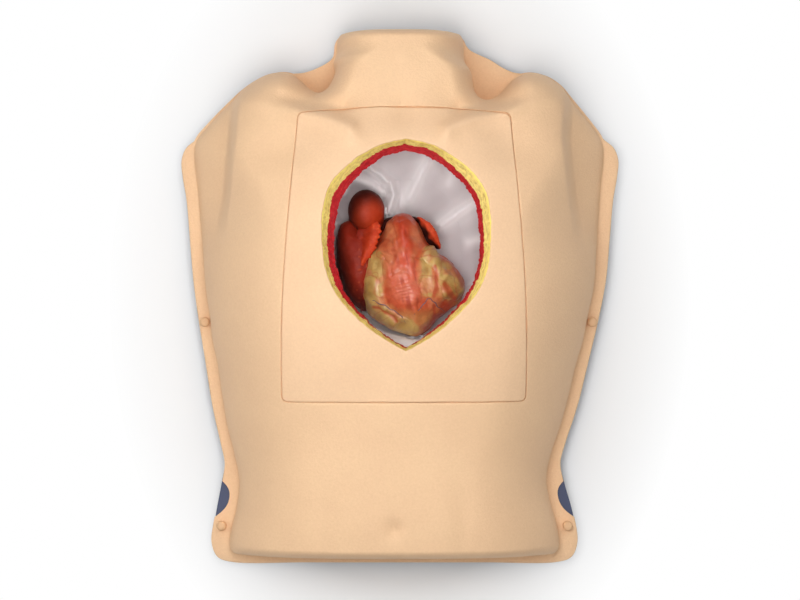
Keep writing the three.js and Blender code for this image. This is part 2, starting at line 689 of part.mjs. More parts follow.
function bowlPoint(angle, share, grow) {
  const power = 2.3;
  const c = Math.abs(Math.cos(angle) / (TRAY_HALF_WIDTH * share + grow)) ** power;
  const s = Math.abs(Math.sin(angle) / (TRAY_HALF_LENGTH * share + grow)) ** power;
  const r = 1 / (c + s) ** (1 / power);
  return [trayX + r * Math.cos(angle), trayY + r * Math.sin(angle)];
}

function bowlRing(share, grow, z, sides = BOWL_SIDES) {
  return Array.from({ length: sides }, (_, i) => {
    const angle = 2 * Math.PI * i / sides;
    return [...bowlPoint(angle, share, grow), z];
  });
}

// Inner wall of the bowl, from the rim down to the floor, as [share of the size, height]
const bowlWall = [[1, 0], [0.985, 0.2], [0.95, 0.45], [0.88, 0.7], [0.77, 0.9],
  [TRAY_FLOOR_SHARE, 1]];

function trayBowl() {
  const level = (drop) => trayRimTop - TRAY_DEPTH * drop;
  const rings = [[[trayX, trayY, trayFloor]]];
  for (const [share, drop] of [...bowlWall].reverse()) {
    rings.push(bowlRing(share, 0, level(drop)));
  }
  rings.push(bowlRing(1, TRAY_RIM, trayRimTop));
  rings.push(bowlRing(1, TRAY_RIM, trayRimTop - 2 * TRAY_WALL));
  rings.push(bowlRing(1, TRAY_RIM - TRAY_WALL, trayRimTop - 2 * TRAY_WALL));
  rings.push(bowlRing(1, TRAY_RIM - TRAY_WALL, trayRimTop - TRAY_WALL));
  rings.push(bowlRing(1, TRAY_WALL, trayRimTop - TRAY_WALL));
  for (const [share, drop] of bowlWall.slice(1)) {
    rings.push(bowlRing(share, TRAY_WALL, level(drop) - TRAY_WALL * drop));
  }
  rings.push([[trayX, trayY, trayFloor - TRAY_WALL]]);
  return toSolid(loft(rings, false));
}

const lugTop = trayRimTop - LUG_DROP;
const lugUnder = lugTop - LUG_THICKNESS;

function heartTray() {
  let tray = trayBowl();
  const solidBowl = toSolid(loft([
    [[trayX, trayY, trayRimTop + 1]],
    bowlRing(1, 1, trayRimTop + 1),
    ...bowlWall.map(([share, drop]) => bowlRing(share, 1, trayRimTop - TRAY_DEPTH * drop)),
    [[trayX, trayY, trayFloor]],
  ], false));
  for (const [x, y] of postPlaces) {
    const toPost = Math.atan2(y - trayY, x - trayX);
    const half = LUG_WIDTH / 2;
    const length = TRAY_RIM + POST_REACH + (1 - bowlWall[3][0]) * TRAY_HALF_LENGTH;
    const outline = new THREE.Shape();
    outline.moveTo(-length, -half * 1.4);
    outline.lineTo(0, -half);
    outline.absarc(0, 0, half, -Math.PI / 2, Math.PI / 2, false);
    outline.lineTo(-length, half * 1.4);
    const lug = new THREE.ExtrudeGeometry(outline, {
      depth: LUG_THICKNESS, bevelEnabled: false, curveSegments: 6,
    });
    lug.rotateZ(toPost);
    lug.translate(x, y, lugUnder);
    tray = tray.add(toSolid(lug).subtract(solidBowl));
    const bore = SCREW_SHANK_RADIUS + SCREW_CLEARANCE;
    tray = tray.subtract(pin(x, y, bore, lugUnder - 1, lugTop + 1, 12));
  }
  return largestPiece(tray);
}

add("heart_tray", toGeometry(heartTray()), trayPlastic);

const postBore = SCREW_SHANK_RADIUS + SCREW_CLEARANCE;
postPlaces.forEach(([x, y], i) => {
  const bottom = boardTop + SEAT_GAP;
  const top = lugUnder - SEAT_GAP;
  const collar = POST_RADIUS + 2.5;
  const profile = [[postBore, bottom], [collar, bottom], [collar, bottom + 3],
    [POST_RADIUS, bottom + 7], [POST_RADIUS, top], [postBore, top], [postBore, bottom]];
  add(`post_${CORNERS[i]}`, lathe(profile, 14), trayPlastic, x, y, 0);
  const trayScrew = screwGeometry(SCREW_LENGTH).rotateX(Math.PI);
  add(`tray_screw_${CORNERS[i]}`, trayScrew, steel, x, y, lugTop + SEAT_GAP);
  const postScrew = screwGeometry(BOARD_THICKNESS + SCREW_LENGTH - SCREW_HEAD_HEIGHT);
  add(`post_screw_${CORNERS[i]}`, postScrew, steel, x, y, boardBottom + SCREW_HEAD_HEIGHT);
});

// Cloth: it lies in the bowl in radial folds and turns over the rim
const CLOTH_SIDES = 40;
const FOLD_ANGLES = [[58, 1, 11], [98, 0.9, 10], [138, 1, 13], [182, 0.6, 14], [228, 0.7, 12],
  [268, 0.8, 11], [318, 0.6, 13], [14, 0.5, 15]];

function foldHeight(angle, share) {
  const degrees = THREE.MathUtils.radToDeg(angle);
  let height = 0;
  for (const [at, size, width] of FOLD_ANGLES) {
    const away = Math.abs(((degrees - at + 540) % 360) - 180);
    height = Math.max(height, size * Math.exp(-((away / width) ** 2)));
  }
  return CLOTH_FOLD * height * smooth(TRAY_FLOOR_SHARE, 0.9, share);
}

function clothRing(share, z, offset) {
  return Array.from({ length: CLOTH_SIDES }, (_, i) => {
    const angle = 2 * Math.PI * i / CLOTH_SIDES;
    const inward = 2 * SEAT_GAP + offset + foldHeight(angle, share);
    return [...bowlPoint(angle, share, -inward), z + (2 * SEAT_GAP + offset) * (share < 0.8)];
  });
}

function clothOver(grow, z, offset, wave) {
  return Array.from({ length: CLOTH_SIDES }, (_, i) => {
    const angle = 2 * Math.PI * i / CLOTH_SIDES;
    const fold = wave * foldHeight(angle, 1) * 0.5;
    return [...bowlPoint(angle, 1, grow + offset + fold), z];
  });
}

function clothGeometry() {
  const level = (drop) => trayRimTop - TRAY_DEPTH * drop;
  const middle = (offset) => [[trayX, trayY, clothFloor + offset]];
  const side = (offset) => {
    const rings = [middle(offset)];
    rings.push(clothRing(TRAY_FLOOR_SHARE * 0.55, trayFloor, offset));
    for (const [share, drop] of [...bowlWall].reverse()) {
      rings.push(clothRing(share, level(drop), offset));
    }
    const over = trayRimTop + 1.5 * SEAT_GAP + offset;
    rings.push(clothOver(TRAY_RIM * 0.2, over, 0, 0));
    rings.push(clothOver(TRAY_RIM + 2 * SEAT_GAP, over - offset * 0.3, offset, 0));
    rings.push(clothOver(TRAY_RIM + 2, trayRimTop - CLOTH_OVERHANG, offset, 1));
    return rings;
  };
  const face = side(CLOTH_THICKNESS);
  return loft([...face, ...side(0).reverse()], false, face.length);
}

add("pericardium_cloth", clothGeometry(), cloth);

// Heart
// Each chamber is a closed form over a plan outline, highest over its middle. Its neighbours are
// cut back from a copy of it that has grown by the seating gap.
const VENTRICLES = {
  outline: [[-5.4, 30.9], [-19, 23.6], [-28.2, 7.1], [-36.9, -8.4], [-40, -25.4], [-40.4, -42.4],
    [-38.9, -55.4], [-32.4, -68.4], [-19.4, -78.4], [-3.4, -83.2], [10.6, -86.2], [20.1, -80.9],
    [31.1, -69.9], [42.1, -58.9], [50.1, -49.4], [55.4, -38.4], [55.6, -22.9], [44.6, -5.4],
    [30.6, 8.6], [19.6, 20.6], [7.1, 28.9]],
  centre: [4.6, -27.4],
  middle: 28.4,
  top: 62.4,
  bottom: 0,
};
const RIGHT_ATRIUM = {
  outline: [[-52.4, 22.6], [-61.4, 16.6], [-65.6, 0.6], [-64.6, -17.4], [-60, -35.4],
    [-52.9, -49.4], [-45.9, -58.4], [-38.4, -62.4], [-31.4, -53.4], [-27.4, -31.4],
    [-25.4, -3.4], [-33.4, 16.6], [-42.4, 21.6]],
  centre: [-46.4, -17.4],
  middle: 23.4,
  top: 44.4,
  bottom: 5.4,
};
const LEFT_ATRIUM = {
  outline: [[-23.4, 14.6], [-35.4, 32.6], [-29.4, 46.6], [-7.4, 51.6], [16.6, 44.6],
    [27.6, 28.6], [22.6, 10.6], [0.6, 4.6]],
  centre: [-3.4, 28.6],
  middle: 12.4,
  top: 23.4,
  bottom: 1.4,
};
const AORTA_CENTRE = [-38.4, 37.6];
const AORTA_RADIUS = 17.2;
const AORTA_BOTTOM = 13;
const AORTA_LENGTH = 38;
const ATRIAL_FLAP_THICKNESS = 6;
const FAT_PAD_THICKNESS = 7;    // of which the lower half is cut away to fit the ventricles
const VEIN_RADIUS = 1.2;

function formSides(outline, centre, sides, grow) {
  const closed = curveThrough(outline, 160, true);
  return Array.from({ length: sides }, (_, i) => {
    const angle = 2 * Math.PI * i / sides;
    const dx = Math.cos(angle);
    const dy = Math.sin(angle);
    let reach = 0;
    for (let k = 0; k < closed.length; k++) {
      const [ax, ay] = closed[k];
      const [bx, by] = closed[(k + 1) % closed.length];
      const det = (bx - ax) * dy - (by - ay) * dx;
      if (Math.abs(det) < 1e-9) continue;
      const t = ((bx - ax) * (ay - centre[1]) - (by - ay) * (ax - centre[0])) / det;
      const u = (dx * (ay - centre[1]) - dy * (ax - centre[0])) / det;
      if (u >= 0 && u <= 1) reach = Math.max(reach, t);
    }
    return [dx, dy, reach + grow];
  });
}

function chamber(form, sides, rows, grow, relief = () => 0) {
  const spokesOf = formSides(form.outline, form.centre, sides, grow);
  const [cx, cy] = form.centre;
  const point = (i, slope) => {
    const [dx, dy, reach] = spokesOf[i];
    const across = Math.sin(slope) ** 0.9;
    const rise = Math.cos(slope);
    const height = rise > 0 ? form.top - form.middle + grow : form.middle - form.bottom + grow;
    const x = cx + dx * reach * across;
    const y = cy + dy * reach * across;
    return [x, y, form.middle + height * rise + (rise > 0 ? relief(x, y) * rise : 0)];
  };
  const rings = [[point(0, 0)]];
  for (let r = 1; r < rows; r++) {
    rings.push(spokesOf.map((_, i) => point(i, Math.PI * r / rows)));
  }
  rings.push([point(0, Math.PI)]);
  rings[0][0] = [cx, cy, form.top + grow + relief(cx, cy)];
  rings[rows][0] = [cx, cy, form.bottom - grow];
  return toSolid(loft(rings, false));
}

// The outflow tract is a broad ridge down the front, with a shallow groove on each side of it
function ventricleRelief(x, y) {
  const tract = [[-6.4, 22.6], [-3.4, -1.4], [0.6, -29.4], [3.6, -57.4]];
  const grooveLeft = [[-21.4, 10.6], [-24.4, -21.4], [-19.4, -55.4], [-3.4, -71.4]];
  const grooveRight = [[8.6, 10.6], [18.6, -15.4], [20.6, -43.4], [10.6, -69.4]];
  return 4.5 * ridge(x, y, tract, 15) - 2.5 * ridge(x, y, grooveLeft, 7)
    - 2.5 * ridge(x, y, grooveRight, 7);
}

function atriumRelief(x, y) {
  return -3 * bump(x, y, -49, 19, 9, 7) + 2 * bump(x, y, -41, -3, 14, 26);
}

const SIDES = 30;
const ROWS = 14;
const ventricles = (grow) => chamber(VENTRICLES, SIDES, ROWS, grow, ventricleRelief);
const rightAtrium = (grow) => chamber(RIGHT_ATRIUM, 20, 10, grow, atriumRelief);
const leftAtrium = (grow) => chamber(LEFT_ATRIUM, 18, 8, grow);

// The aorta's stump leans towards the head and ends in a dome
function aorta(grow) {
  const r = AORTA_RADIUS + grow;
  const rim = AORTA_LENGTH - r * 0.8;
  const profile = [[0, -grow], [r * 0.9, -grow], [r, 5], [r, rim]];
  for (let i = 1; i < 5; i++) {
    const angle = i / 5 * Math.PI / 2;
    profile.push([r * Math.cos(angle), rim + r * 0.8 * Math.sin(angle)]);
  }
  profile.push([0, AORTA_LENGTH + grow * 0.8]);
  const geometry = lathe(profile, 18);
  geometry.rotateX(-0.28);
  geometry.translate(AORTA_CENTRE[0], AORTA_CENTRE[1] - 8, AORTA_BOTTOM);
  return toSolid(geometry);
}

// A flap that lies along a path: its section is a flattened oval, its free edge is scalloped
function flap(path, width, thickness, lobes, grow) {
  const knots = path.map(([x, y, z]) => new THREE.Vector3(x, y, z));
  const curve = new THREE.CatmullRomCurve3(knots);
  const steps = 14;
  const up = new THREE.Vector3(0, 0, 1);
  const rings = [[curve.getPoint(0).addScaledVector(curve.getTangent(0), -grow).toArray()]];
  for (let i = 1; i < steps; i++) {
    const t = i / steps;
    const at = curve.getPoint(t);
    const sideways = curve.getTangent(t).cross(up).normalize();
    const taper = Math.sin(Math.PI * t) ** 0.55;
    const scallop = 1 + 0.13 * Math.sin(lobes * 2 * Math.PI * t);
    const ring = [];
    for (let k = 0; k < 8; k++) {
      const angle = 2 * Math.PI * k / 8;
      const across = Math.cos(angle) * (width / 2 * taper * (angle < 2 || angle > 4.5 ? scallop : 1)
        + grow);
      const lift = Math.sin(angle) * (thickness / 2 * taper + grow);
      ring.push(at.clone().addScaledVector(sideways, across).addScaledVector(up, lift).toArray());
    }
    rings.push(ring);
  }
  rings.push([curve.getPoint(1).addScaledVector(curve.getTangent(1), grow).toArray()]);
  return toSolid(loft(rings, false));
}

const rightAppendage = (grow) => flap([[-31.4, 28.6, 44.4], [-27.4, 16.6, 46.9], [-32.4, 0.6, 46.4],
  [-41.4, -13.4, 44.9], [-43.4, -27.4, 42.4]], 15, ATRIAL_FLAP_THICKNESS, 6, grow);
const leftAppendage = (grow) => flap([[11.1, 29.6, 27.4], [18.6, 20.6, 32.4], [26.1, 10.6, 32.9],
  [32.6, -0.4, 27.4]], 9.5, ATRIAL_FLAP_THICKNESS + 6, 3, grow);

// Height of the ventricles' front over a point of the plan
function onVentricles([x, y]) {
  const [cx, cy] = VENTRICLES.centre;
  const angle = (Math.atan2(y - cy, x - cx) + 2 * Math.PI) % (2 * Math.PI);
  const reaches = formSides(VENTRICLES.outline, VENTRICLES.centre, 120, 0);
  const reach = reaches[Math.round(angle / (2 * Math.PI) * 120) % 120][2];
  const slope = Math.asin(clamp01(Math.hypot(x - cx, y - cy) / reach) ** (1 / 0.9));
  const rise = VENTRICLES.top - VENTRICLES.middle + ventricleRelief(x, y);
  return VENTRICLES.middle + rise * Math.cos(slope);
}

function overVentricles(path, lift) {
  return path.map((point) => [...point, onVentricles(point) + lift]);
}

// A vein on the front of the ventricles, sunk a little into its groove
function vein(path) {
  const knots = overVentricles(path, VEIN_RADIUS * 0.5).map((p) => new THREE.Vector3(...p));
  const section = new THREE.Shape();
  section.absarc(0, 0, VEIN_RADIUS, 0, 2 * Math.PI);
  return toSolid(new THREE.ExtrudeGeometry(section, {
    steps: 8, curveSegments: 3, extrudePath: new THREE.CatmullRomCurve3(knots),
  }));
}

function seated(solid, ...neighbours) {
  let rest = solid;
  for (const neighbour of neighbours) rest = rest.subtract(neighbour);
  return toGeometry(largestPiece(rest));
}

const grown = {
  ventricles: ventricles(SEAT_GAP),
  rightAtrium: rightAtrium(SEAT_GAP),
  leftAtrium: leftAtrium(SEAT_GAP),
  aorta: aorta(SEAT_GAP),
  rightAppendage: rightAppendage(SEAT_GAP),
  leftAppendage: leftAppendage(SEAT_GAP),
};

addToHeart("ventricles", toGeometry(ventricles(0)), ventricleRed);
addToHeart("aorta_stump", seated(aorta(0), grown.ventricles), atriumRed);
addToHeart("right_atrium", seated(rightAtrium(0), grown.ventricles, grown.aorta), atriumRed);
addToHeart("left_atrium", seated(leftAtrium(0), grown.ventricles, grown.aorta, grown.rightAtrium),
  atriumRed);
addToHeart("right_atrial_appendage", seated(rightAppendage(0), grown.ventricles, grown.aorta,
  grown.rightAtrium), appendageRed);
addToHeart("left_atrial_appendage", seated(leftAppendage(0), grown.ventricles, grown.leftAtrium),
  appendageRed);

// Lumps of fat on the ventricles' edge, as name, middle line, width and number of lobes
const FAT_PADS = [
  ["heart_fat_right", [[-21.4, 12.6], [-29.4, -1.4], [-32.4, -21.4], [-32.9, -41.4],
    [-29.4, -57.4]], 15, 5],
  ["heart_fat_left", [[16.6, 15.6], [24.6, 0.6], [34.6, -16.4], [40.6, -35.4], [39.6, -50.4]],
    18, 5],
  ["heart_fat_lower", [[-24.4, -66.4], [-11.4, -74.4], [4.6, -78.4], [20.6, -73.4]], 12, 4],
];

function fatPad([, path, width, lobes], grow) {
  const line = overVentricles(path, 0);
  return flap(line, width + 2 * grow, FAT_PAD_THICKNESS + 2 * grow, lobes, grow);
}

for (const pad of FAT_PADS) {
  addToHeart(pad[0], seated(fatPad(pad, 0), grown.ventricles, grown.rightAtrium,
    grown.rightAppendage, grown.leftAppendage), epicardialFat);
}

const [rightFat, , lowerFat] = FAT_PADS.map((pad) => fatPad(pad, SEAT_GAP));
const leftVeins = vein([[26.6, -37.4], [22.6, -46.4], [14.6, -57.4], [7.6, -67.4]])
  .add(vein([[22.6, -45.4], [29.6, -53.4], [37.6, -60.4]]));
const rightVein = vein([[-22.4, -51.4], [-14.4, -55.4], [-6.4, -62.4], [-0.4, -68.4]]);
addToHeart("heart_vein_left", seated(leftVeins, grown.ventricles, lowerFat), veinBlue);
addToHeart("heart_vein_right", seated(rightVein, grown.ventricles, lowerFat, rightFat), veinBlue);

export default parts;
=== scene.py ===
import math

import bpy
import numpy as np
from mathutils import Matrix, Vector


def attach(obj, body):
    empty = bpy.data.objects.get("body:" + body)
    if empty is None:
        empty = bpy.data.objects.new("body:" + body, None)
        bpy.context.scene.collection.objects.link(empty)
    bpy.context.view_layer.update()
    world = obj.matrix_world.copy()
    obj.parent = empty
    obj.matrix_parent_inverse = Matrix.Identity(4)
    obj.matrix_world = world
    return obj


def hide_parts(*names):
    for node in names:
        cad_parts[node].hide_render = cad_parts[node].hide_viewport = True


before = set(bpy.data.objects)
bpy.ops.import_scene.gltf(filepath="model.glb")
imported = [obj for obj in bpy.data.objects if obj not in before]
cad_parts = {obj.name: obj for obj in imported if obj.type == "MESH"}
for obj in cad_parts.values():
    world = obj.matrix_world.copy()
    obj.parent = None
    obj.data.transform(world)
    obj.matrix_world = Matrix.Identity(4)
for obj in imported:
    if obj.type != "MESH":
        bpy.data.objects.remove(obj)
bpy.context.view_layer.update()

# Shapes are worked out in millimetres and become metres where a mesh is made
MM = 0.001

# Camera: straight above the middle of the model, with the neck up in the picture
VIEW_DISTANCE = 2200        # from the flange's top face
VIEW_WIDTH = 800            # what the picture takes in at the flange, side to side
SENSOR_WIDTH = 36

# Clearances and levels, as in the construction
SEAT_GAP = 0.3
PAD_CLEARANCE = 0.5
FOOT_HEIGHT = 8
BOARD_BOTTOM = FOOT_HEIGHT + SEAT_GAP
BOARD_TOP = BOARD_BOTTOM + 12
FLANGE_BOTTOM = BOARD_TOP + SEAT_GAP
FLANGE_TOP = FLANGE_BOTTOM + 3
SHELL_WALL = 3.2
TRAY_FLOOR = BOARD_TOP + 74
TRAY_RIM_TOP = TRAY_FLOOR + 44
CLOTH_FLOOR = TRAY_FLOOR + 2 * SEAT_GAP
CLOTH_THICKNESS = 1.4
HEART_BASE = CLOTH_FLOOR + CLOTH_THICKNESS + SEAT_GAP

# Plan of the body and the flange: half-widths by height on the body, and the lean of the middle line
LOWER_LEAN = [[-262, -5.5], [-220, -5.5], [-165, -7.5], [-95, -4.5], [-34, -2], [20, -0.3]]
BODY_LEAN = LOWER_LEAN + [[154, -1], [172, 0], [196, 2], [213, 4], [223, 5], [236, 0.5]]
FLANGE_LEAN = LOWER_LEAN + [[154, 0], [196, 2], [222, 8], [238, 11], [250, 3], [258, 0.5]]
BODY_FLANK = [[164, -300], [164, -262], [164.5, -240], [162.5, -227], [156.5, -205],
              [153, -180], [158, -152], [166, -125], [172.5, -95], [178.5, -64], [185, -38],
              [187.5, -20], [193, 11], [197, 61], [201, 111], [204, 150], [200, 162], [191, 173.5],
              [181, 185], [170, 197], [160.5, 207], [150.5, 215], [138, 222], [127, 224.5]]
NECK_RIGHT = [[117, 223.5], [108, 219], [101, 211], [94, 202.5], [86, 198], [78, 198.5],
              [72, 204], [68, 215], [65, 231], [63, 244], [63, 262], [63, 300]]
NECK_LEFT = [[119, 225], [111, 223], [105, 219], [97.5, 213], [89.5, 207], [82, 204.5],
             [76, 208], [72, 216], [68, 231], [64, 244], [63, 262], [63, 300]]
FLANGE_SIDE = [[0, -262.5], [90, -262.5], [163, -262], [177, -257], [183, -243], [181, -222],
               [175, -200], [170.5, -180], [168, -163], [172.5, -143], [179, -120], [184, -100],
               [192, -60], [200, -20], [206.5, 20], [210, 60], [213.5, 100], [217.5, 124],
               [218.5, 140], [214, 152], [203, 161.5], [192.5, 175], [182, 187], [171, 199],
               [161.5, 209.5], [151, 217.5], [138.5, 224], [127, 226.5], [116, 226.5], [105, 227.5],
               [93, 232], [80, 240], [67, 250], [64.5, 256], [60, 262], [50, 266.5], [34, 268],
               [0, 268.5]]
BOARD_SIDE = [[0, -262], [90, -262], [162.5, -261.5], [176.5, -256.5], [182.5, -243],
              [179, -215], [171.4, -182], [168, -163], [172.2, -143], [178.5, -120], [183.5, -100],
              [191.5, -60], [199.5, -20], [206, 20], [209.5, 60], [213, 100], [217, 124],
              [218, 140], [213.5, 151.5], [202.5, 161], [192, 174.5], [181.5, 186.5], [170.5, 198.5],
              [161, 209], [150.5, 217], [138, 223.5], [127, 226], [116, 226], [104.5, 227],
              [92.5, 231.5], [79.5, 239.5], [66.5, 249.5], [64, 256], [59.5, 261.5], [49.5, 266],
              [34, 267.5], [0, 268]]
NECK_END = 263.5
BELLY_END = -253
CUT_END_RADIUS = 14
CUT_END_SQUARENESS = 2.4
PLAN_CORNER_RADIUS = 12

# Body height above the flange
CREST = [[-253, 108], [-219, 114], [-150, 124], [-100, 137], [-55, 151], [0, 163],
         [60, 166.5], [110, 160], [150, 147], [186, 128], [215, 121], [256, 117]]
ROUNDING = [[-253, 70], [-180, 80], [60, 88], [150, 50], [190, 28], [222, 26], [245, 48]]
SQUARENESS = [[-253, 2.2], [20, 2.2], [85, 1.7], [150, 1.8], [185, 2.3], [240, 2.1]]
BULGE = 14                 # how much lower the front is 100 mm to the side
BULGE_POWER = 2.5

# Past this line, [position, across], the front drops from the arm's stump to the flank
ARM_GROOVE = [[70, 173], [97, 169], [137, 164], [158, 162], [190, 163], [200, 164]]
ARM_STEP = 0.5             # share of the height that is lost past the groove
ARM_STEP_ACROSS = (-8, 7)
ARM_STEP_ALONG = (45, 110)

# Ridges and furrows down both sides of the front: height, half width and path
CLAVICLE = (8, 8, [[150, 191], [122, 186], [98, 178], [70, 171.5], [46, 161]])
FOSSA = (-7, 8, [[114, 193], [86, 188.5], [56, 182]])
NECK_MUSCLE = (2.5, 14, [[46, 262], [36, 232], [22, 204], [12, 184]])
RIB_ARCH = (-3, 26, [[12, -62], [48, -104], [96, -146], [140, -168]])
SHOULDER_FADE = 0.6        # share that the clavicle and the fossa lose past these places
SHOULDER_FADE_ACROSS = (98, 122)

# Swellings and hollows: height, place and the radii across and along the body
SWELLS = [(3.5, 43, 151, 11, 9),        # inner end of the clavicle
          (9, 134, 184, 34, 30),        # shoulder
          (5, 72, 70, 46, 52),          # chest
          (-7, 106, 146, 26, 22),       # below the clavicle's outer end
          (-4, 48, 190, 17, 14),        # beside the neck
          (-5, 0, 182, 20, 16),         # throat
          (3, 0, 232, 16, 24),          # front of the neck
          (-1.6, 66, -215, 10, 42),     # groin
          (-3.5, 0, -219, 9, 9)]        # navel

# Finger notches and pegs
NOTCH_LENGTH = 36
NOTCH_DEPTH = 10
NOTCH_SQUARENESS = 2.4
NOTCH_Y = -199
PEG_HEAD_RADIUS = 4.9
PEG_HEAD_HEIGHT = 6.5
PEG_SHANK_RADIUS = 3
PEG_SHANK_DEPTH = 9
PEG_HOLE_RADIUS = PEG_SHANK_RADIUS + 0.4
UPPER_PEG_Y = -22
LOWER_PEG_Y = -225.5
UPPER_PEG_INSET = 6.2
LOWER_PEG_INSET = 8.8

# Chest pad and incision
CENTRE = np.array([5.4, 51.4])
INCISION_LENGTH = 198
INCISION_WIDTH = 157
PAD_TOP_Y = CENTRE[1] + INCISION_LENGTH / 2 + 25.6
PAD_TOP_BOW = 6              # how far the middle of the top edge stands above its corners
PAD_BOTTOM_Y = CENTRE[1] - INCISION_LENGTH / 2 - 48.4
PAD_MIDDLE_X = CENTRE[0] - 1.4
PAD_WAIST = 0.35             # where the sides turn in, as a share of the height from the bottom
PAD_WAIST_LENGTH = 30
PAD_TOP_WIDTH = 201
PAD_BOTTOM_WIDTH = 231
PAD_CORNER_RADIUS = 6
LEDGE_WIDTH = 12
SKIN_PROUD = 0.9
SKIN_THICKNESS = 3
FAT_THICKNESS = 7
MUSCLE_THICKNESS = 5.5
FAT_SHARE = 0.64
INCISION_SIDE = [[0, 1], [0.31, 0.94], [0.67, 0.77], [0.92, 0.545], [1, 0.28], [1, 0],
                 [0.96, -0.238], [0.834, -0.463], [0.578, -0.687], [0.28, -0.875], [0, -1]]
CUT_SLOPE = [[-90, 3], [-70, 4.6], [-45, 6.4], [-20, 8.8], [0, 9.2], [15, 11.5], [50, 13.5],
             [70, 11.5], [90, 9.8]]


# Curves and fields
def circle(steps):
    """Angles in even steps once round."""
    return np.arange(steps) / steps * 2 * math.pi


def unit(vectors):
    return vectors / np.linalg.norm(vectors, axis=-1)[..., None]


def smooth(low, high, value):
    t = np.clip((value - low) / (high - low), 0, 1)
    return t * t * (3 - 2 * t)


def along(rows, position):
    """Value of a table of [position, value] rows, on a smooth curve that never overshoots."""
    rows = np.asarray(rows, float)
    place = np.asarray(position, float)
    i = np.clip(np.searchsorted(rows[:, 0], place) - 1, 0, len(rows) - 2)
    step = np.diff(rows[:, 0])
    slope = np.diff(rows[:, 1]) / step
    product = slope[:-1] * slope[1:]
    total = np.where(product > 0, slope[:-1] + slope[1:], 1)
    tangent = np.concatenate([[0], np.where(product > 0, 2 * product / total, 0), [0]])
    t = np.clip((place - rows[i, 0]) / step[i], 0, 1)
    return (rows[i, 1] * (1 + 2 * t) * (1 - t) ** 2 + rows[i + 1, 1] * t * t * (3 - 2 * t)
            + step[i] * t * (1 - t) * (tangent[i] * (1 - t) - tangent[i + 1] * t))


def bump(x, y, at_x, at_y, radius_x, radius_y):
    return np.exp(-(((x - at_x) / radius_x) ** 2 + ((y - at_y) / radius_y) ** 2))


def distance_to(line, x, y):
    """Distance from each point to a polyline."""
    best = np.full(np.shape(x), np.inf)
    for (ax, ay), (bx, by) in zip(line[:-1], line[1:]):
        dx, dy = bx - ax, by - ay
        t = np.clip(((x - ax) * dx + (y - ay) * dy) / (dx * dx + dy * dy), 0, 1)
        best = np.minimum(best, np.hypot(x - ax - t * dx, y - ay - t * dy))
    return best


def ridge(x, y, path, width):
    return np.exp(-((distance_to(path, x, y) / width) ** 2))


def resampled(points, count, closed=False):
    """The polyline's points moved to even steps of its length."""
    line = np.vstack([points, points[:1]]) if closed else np.asarray(points)
    steps = np.concatenate([[0], np.cumsum(np.linalg.norm(np.diff(line, axis=0), axis=1))])
    places = np.linspace(0, steps[-1], count + 1)
    if closed:
        places = places[:-1]
    return np.column_stack([np.interp(places, steps, line[:, k]) for k in range(line.shape[1])])


def curve_through(knots, count, closed=False):
    """Centripetal curve through the knots, in even steps."""
    p = np.asarray(knots, float)
    n = len(p)
    pieces = []
    t = np.linspace(0, 1, 24, endpoint=False)[:, None]
    for i in range(n if closed else n - 1):
        b, c = p[i], p[(i + 1) % n]
        a = p[(i - 1) % n] if closed or i > 0 else 2 * p[0] - p[1]
        d = p[(i + 2) % n] if closed or i + 2 < n else 2 * p[-1] - p[-2]
        ab, bc, cd = (max(1e-4, math.sqrt(np.linalg.norm(v - u)))
                      for u, v in ((a, b), (b, c), (c, d)))
        start = ((b - a) / ab - (c - a) / (ab + bc) + (c - b) / bc) * bc
        end = ((c - b) / bc - (d - b) / (bc + cd) + (d - c) / cd) * bc
        pieces.append(b * (2 * t**3 - 3 * t**2 + 1) + start * (t**3 - 2 * t**2 + t)
                      + c * (3 * t**2 - 2 * t**3) + end * (t**3 - t**2))
    if not closed:
        pieces.append(p[-1:])
    return resampled(np.vstack(pieces), count, closed)


def value_noise(points, scale, seed=0):
    """Smooth noise from -1 to 1 at each point, with features about scale long."""
    p = np.asarray(points, float) / scale + 37.0 + seed * 11.3
    base = np.floor(p).astype(np.int64)
    t = p - base
    t = t * t * (3 - 2 * t)
    total = np.zeros(len(p))
    for corner in np.ndindex(*(2,) * p.shape[1]):
        hashed = np.full(len(p), 1013 * (seed + 1), dtype=np.int64)
        weight = np.ones(len(p))
        for k, side in enumerate(corner):
            hashed = (hashed * 73856093) ^ ((base[:, k] + side) * 19349663 * (k + 1))
            hashed = (hashed ^ (hashed >> 13)) & 0x7FFFFFFF
            weight *= t[:, k] if side else 1 - t[:, k]
        total += weight * ((hashed * 1103515245 + 12345 & 0x7FFFFFFF) / 0x3FFFFFFF - 1)
    return total


def ray_hits(outline, angles, origin):
    """Where rays from the origin last leave a closed outline, one point for each angle."""
    dx, dy = np.cos(angles)[:, None], np.sin(angles)[:, None]
    a = np.asarray(outline, float)
    e = np.roll(a, -1, axis=0) - a
    det = e[:, 0] * dy - e[:, 1] * dx
    det = np.where(np.abs(det) < 1e-9, np.nan, det)
    px, py = a[:, 0] - origin[0], a[:, 1] - origin[1]
    t = (e[:, 0] * py - e[:, 1] * px) / det
    u = (dx * py - dy * px) / det
    reach = np.nanmax(np.where((u >= -1e-6) & (u <= 1 + 1e-6), t, 0), axis=1)
    return np.column_stack([origin[0] + dx[:, 0] * reach, origin[1] + dy[:, 0] * reach])


# Plan outlines of the model
def closed_outline(side, lean, count):
    side = np.asarray(side, float)
    middle = along(lean, side[:, 1])
    right = np.column_stack([middle + side[:, 0], side[:, 1]])
    left = np.column_stack([middle - side[:, 0], side[:, 1]])[1:-1][::-1]
    return curve_through(np.vstack([right, left]), count, closed=True)


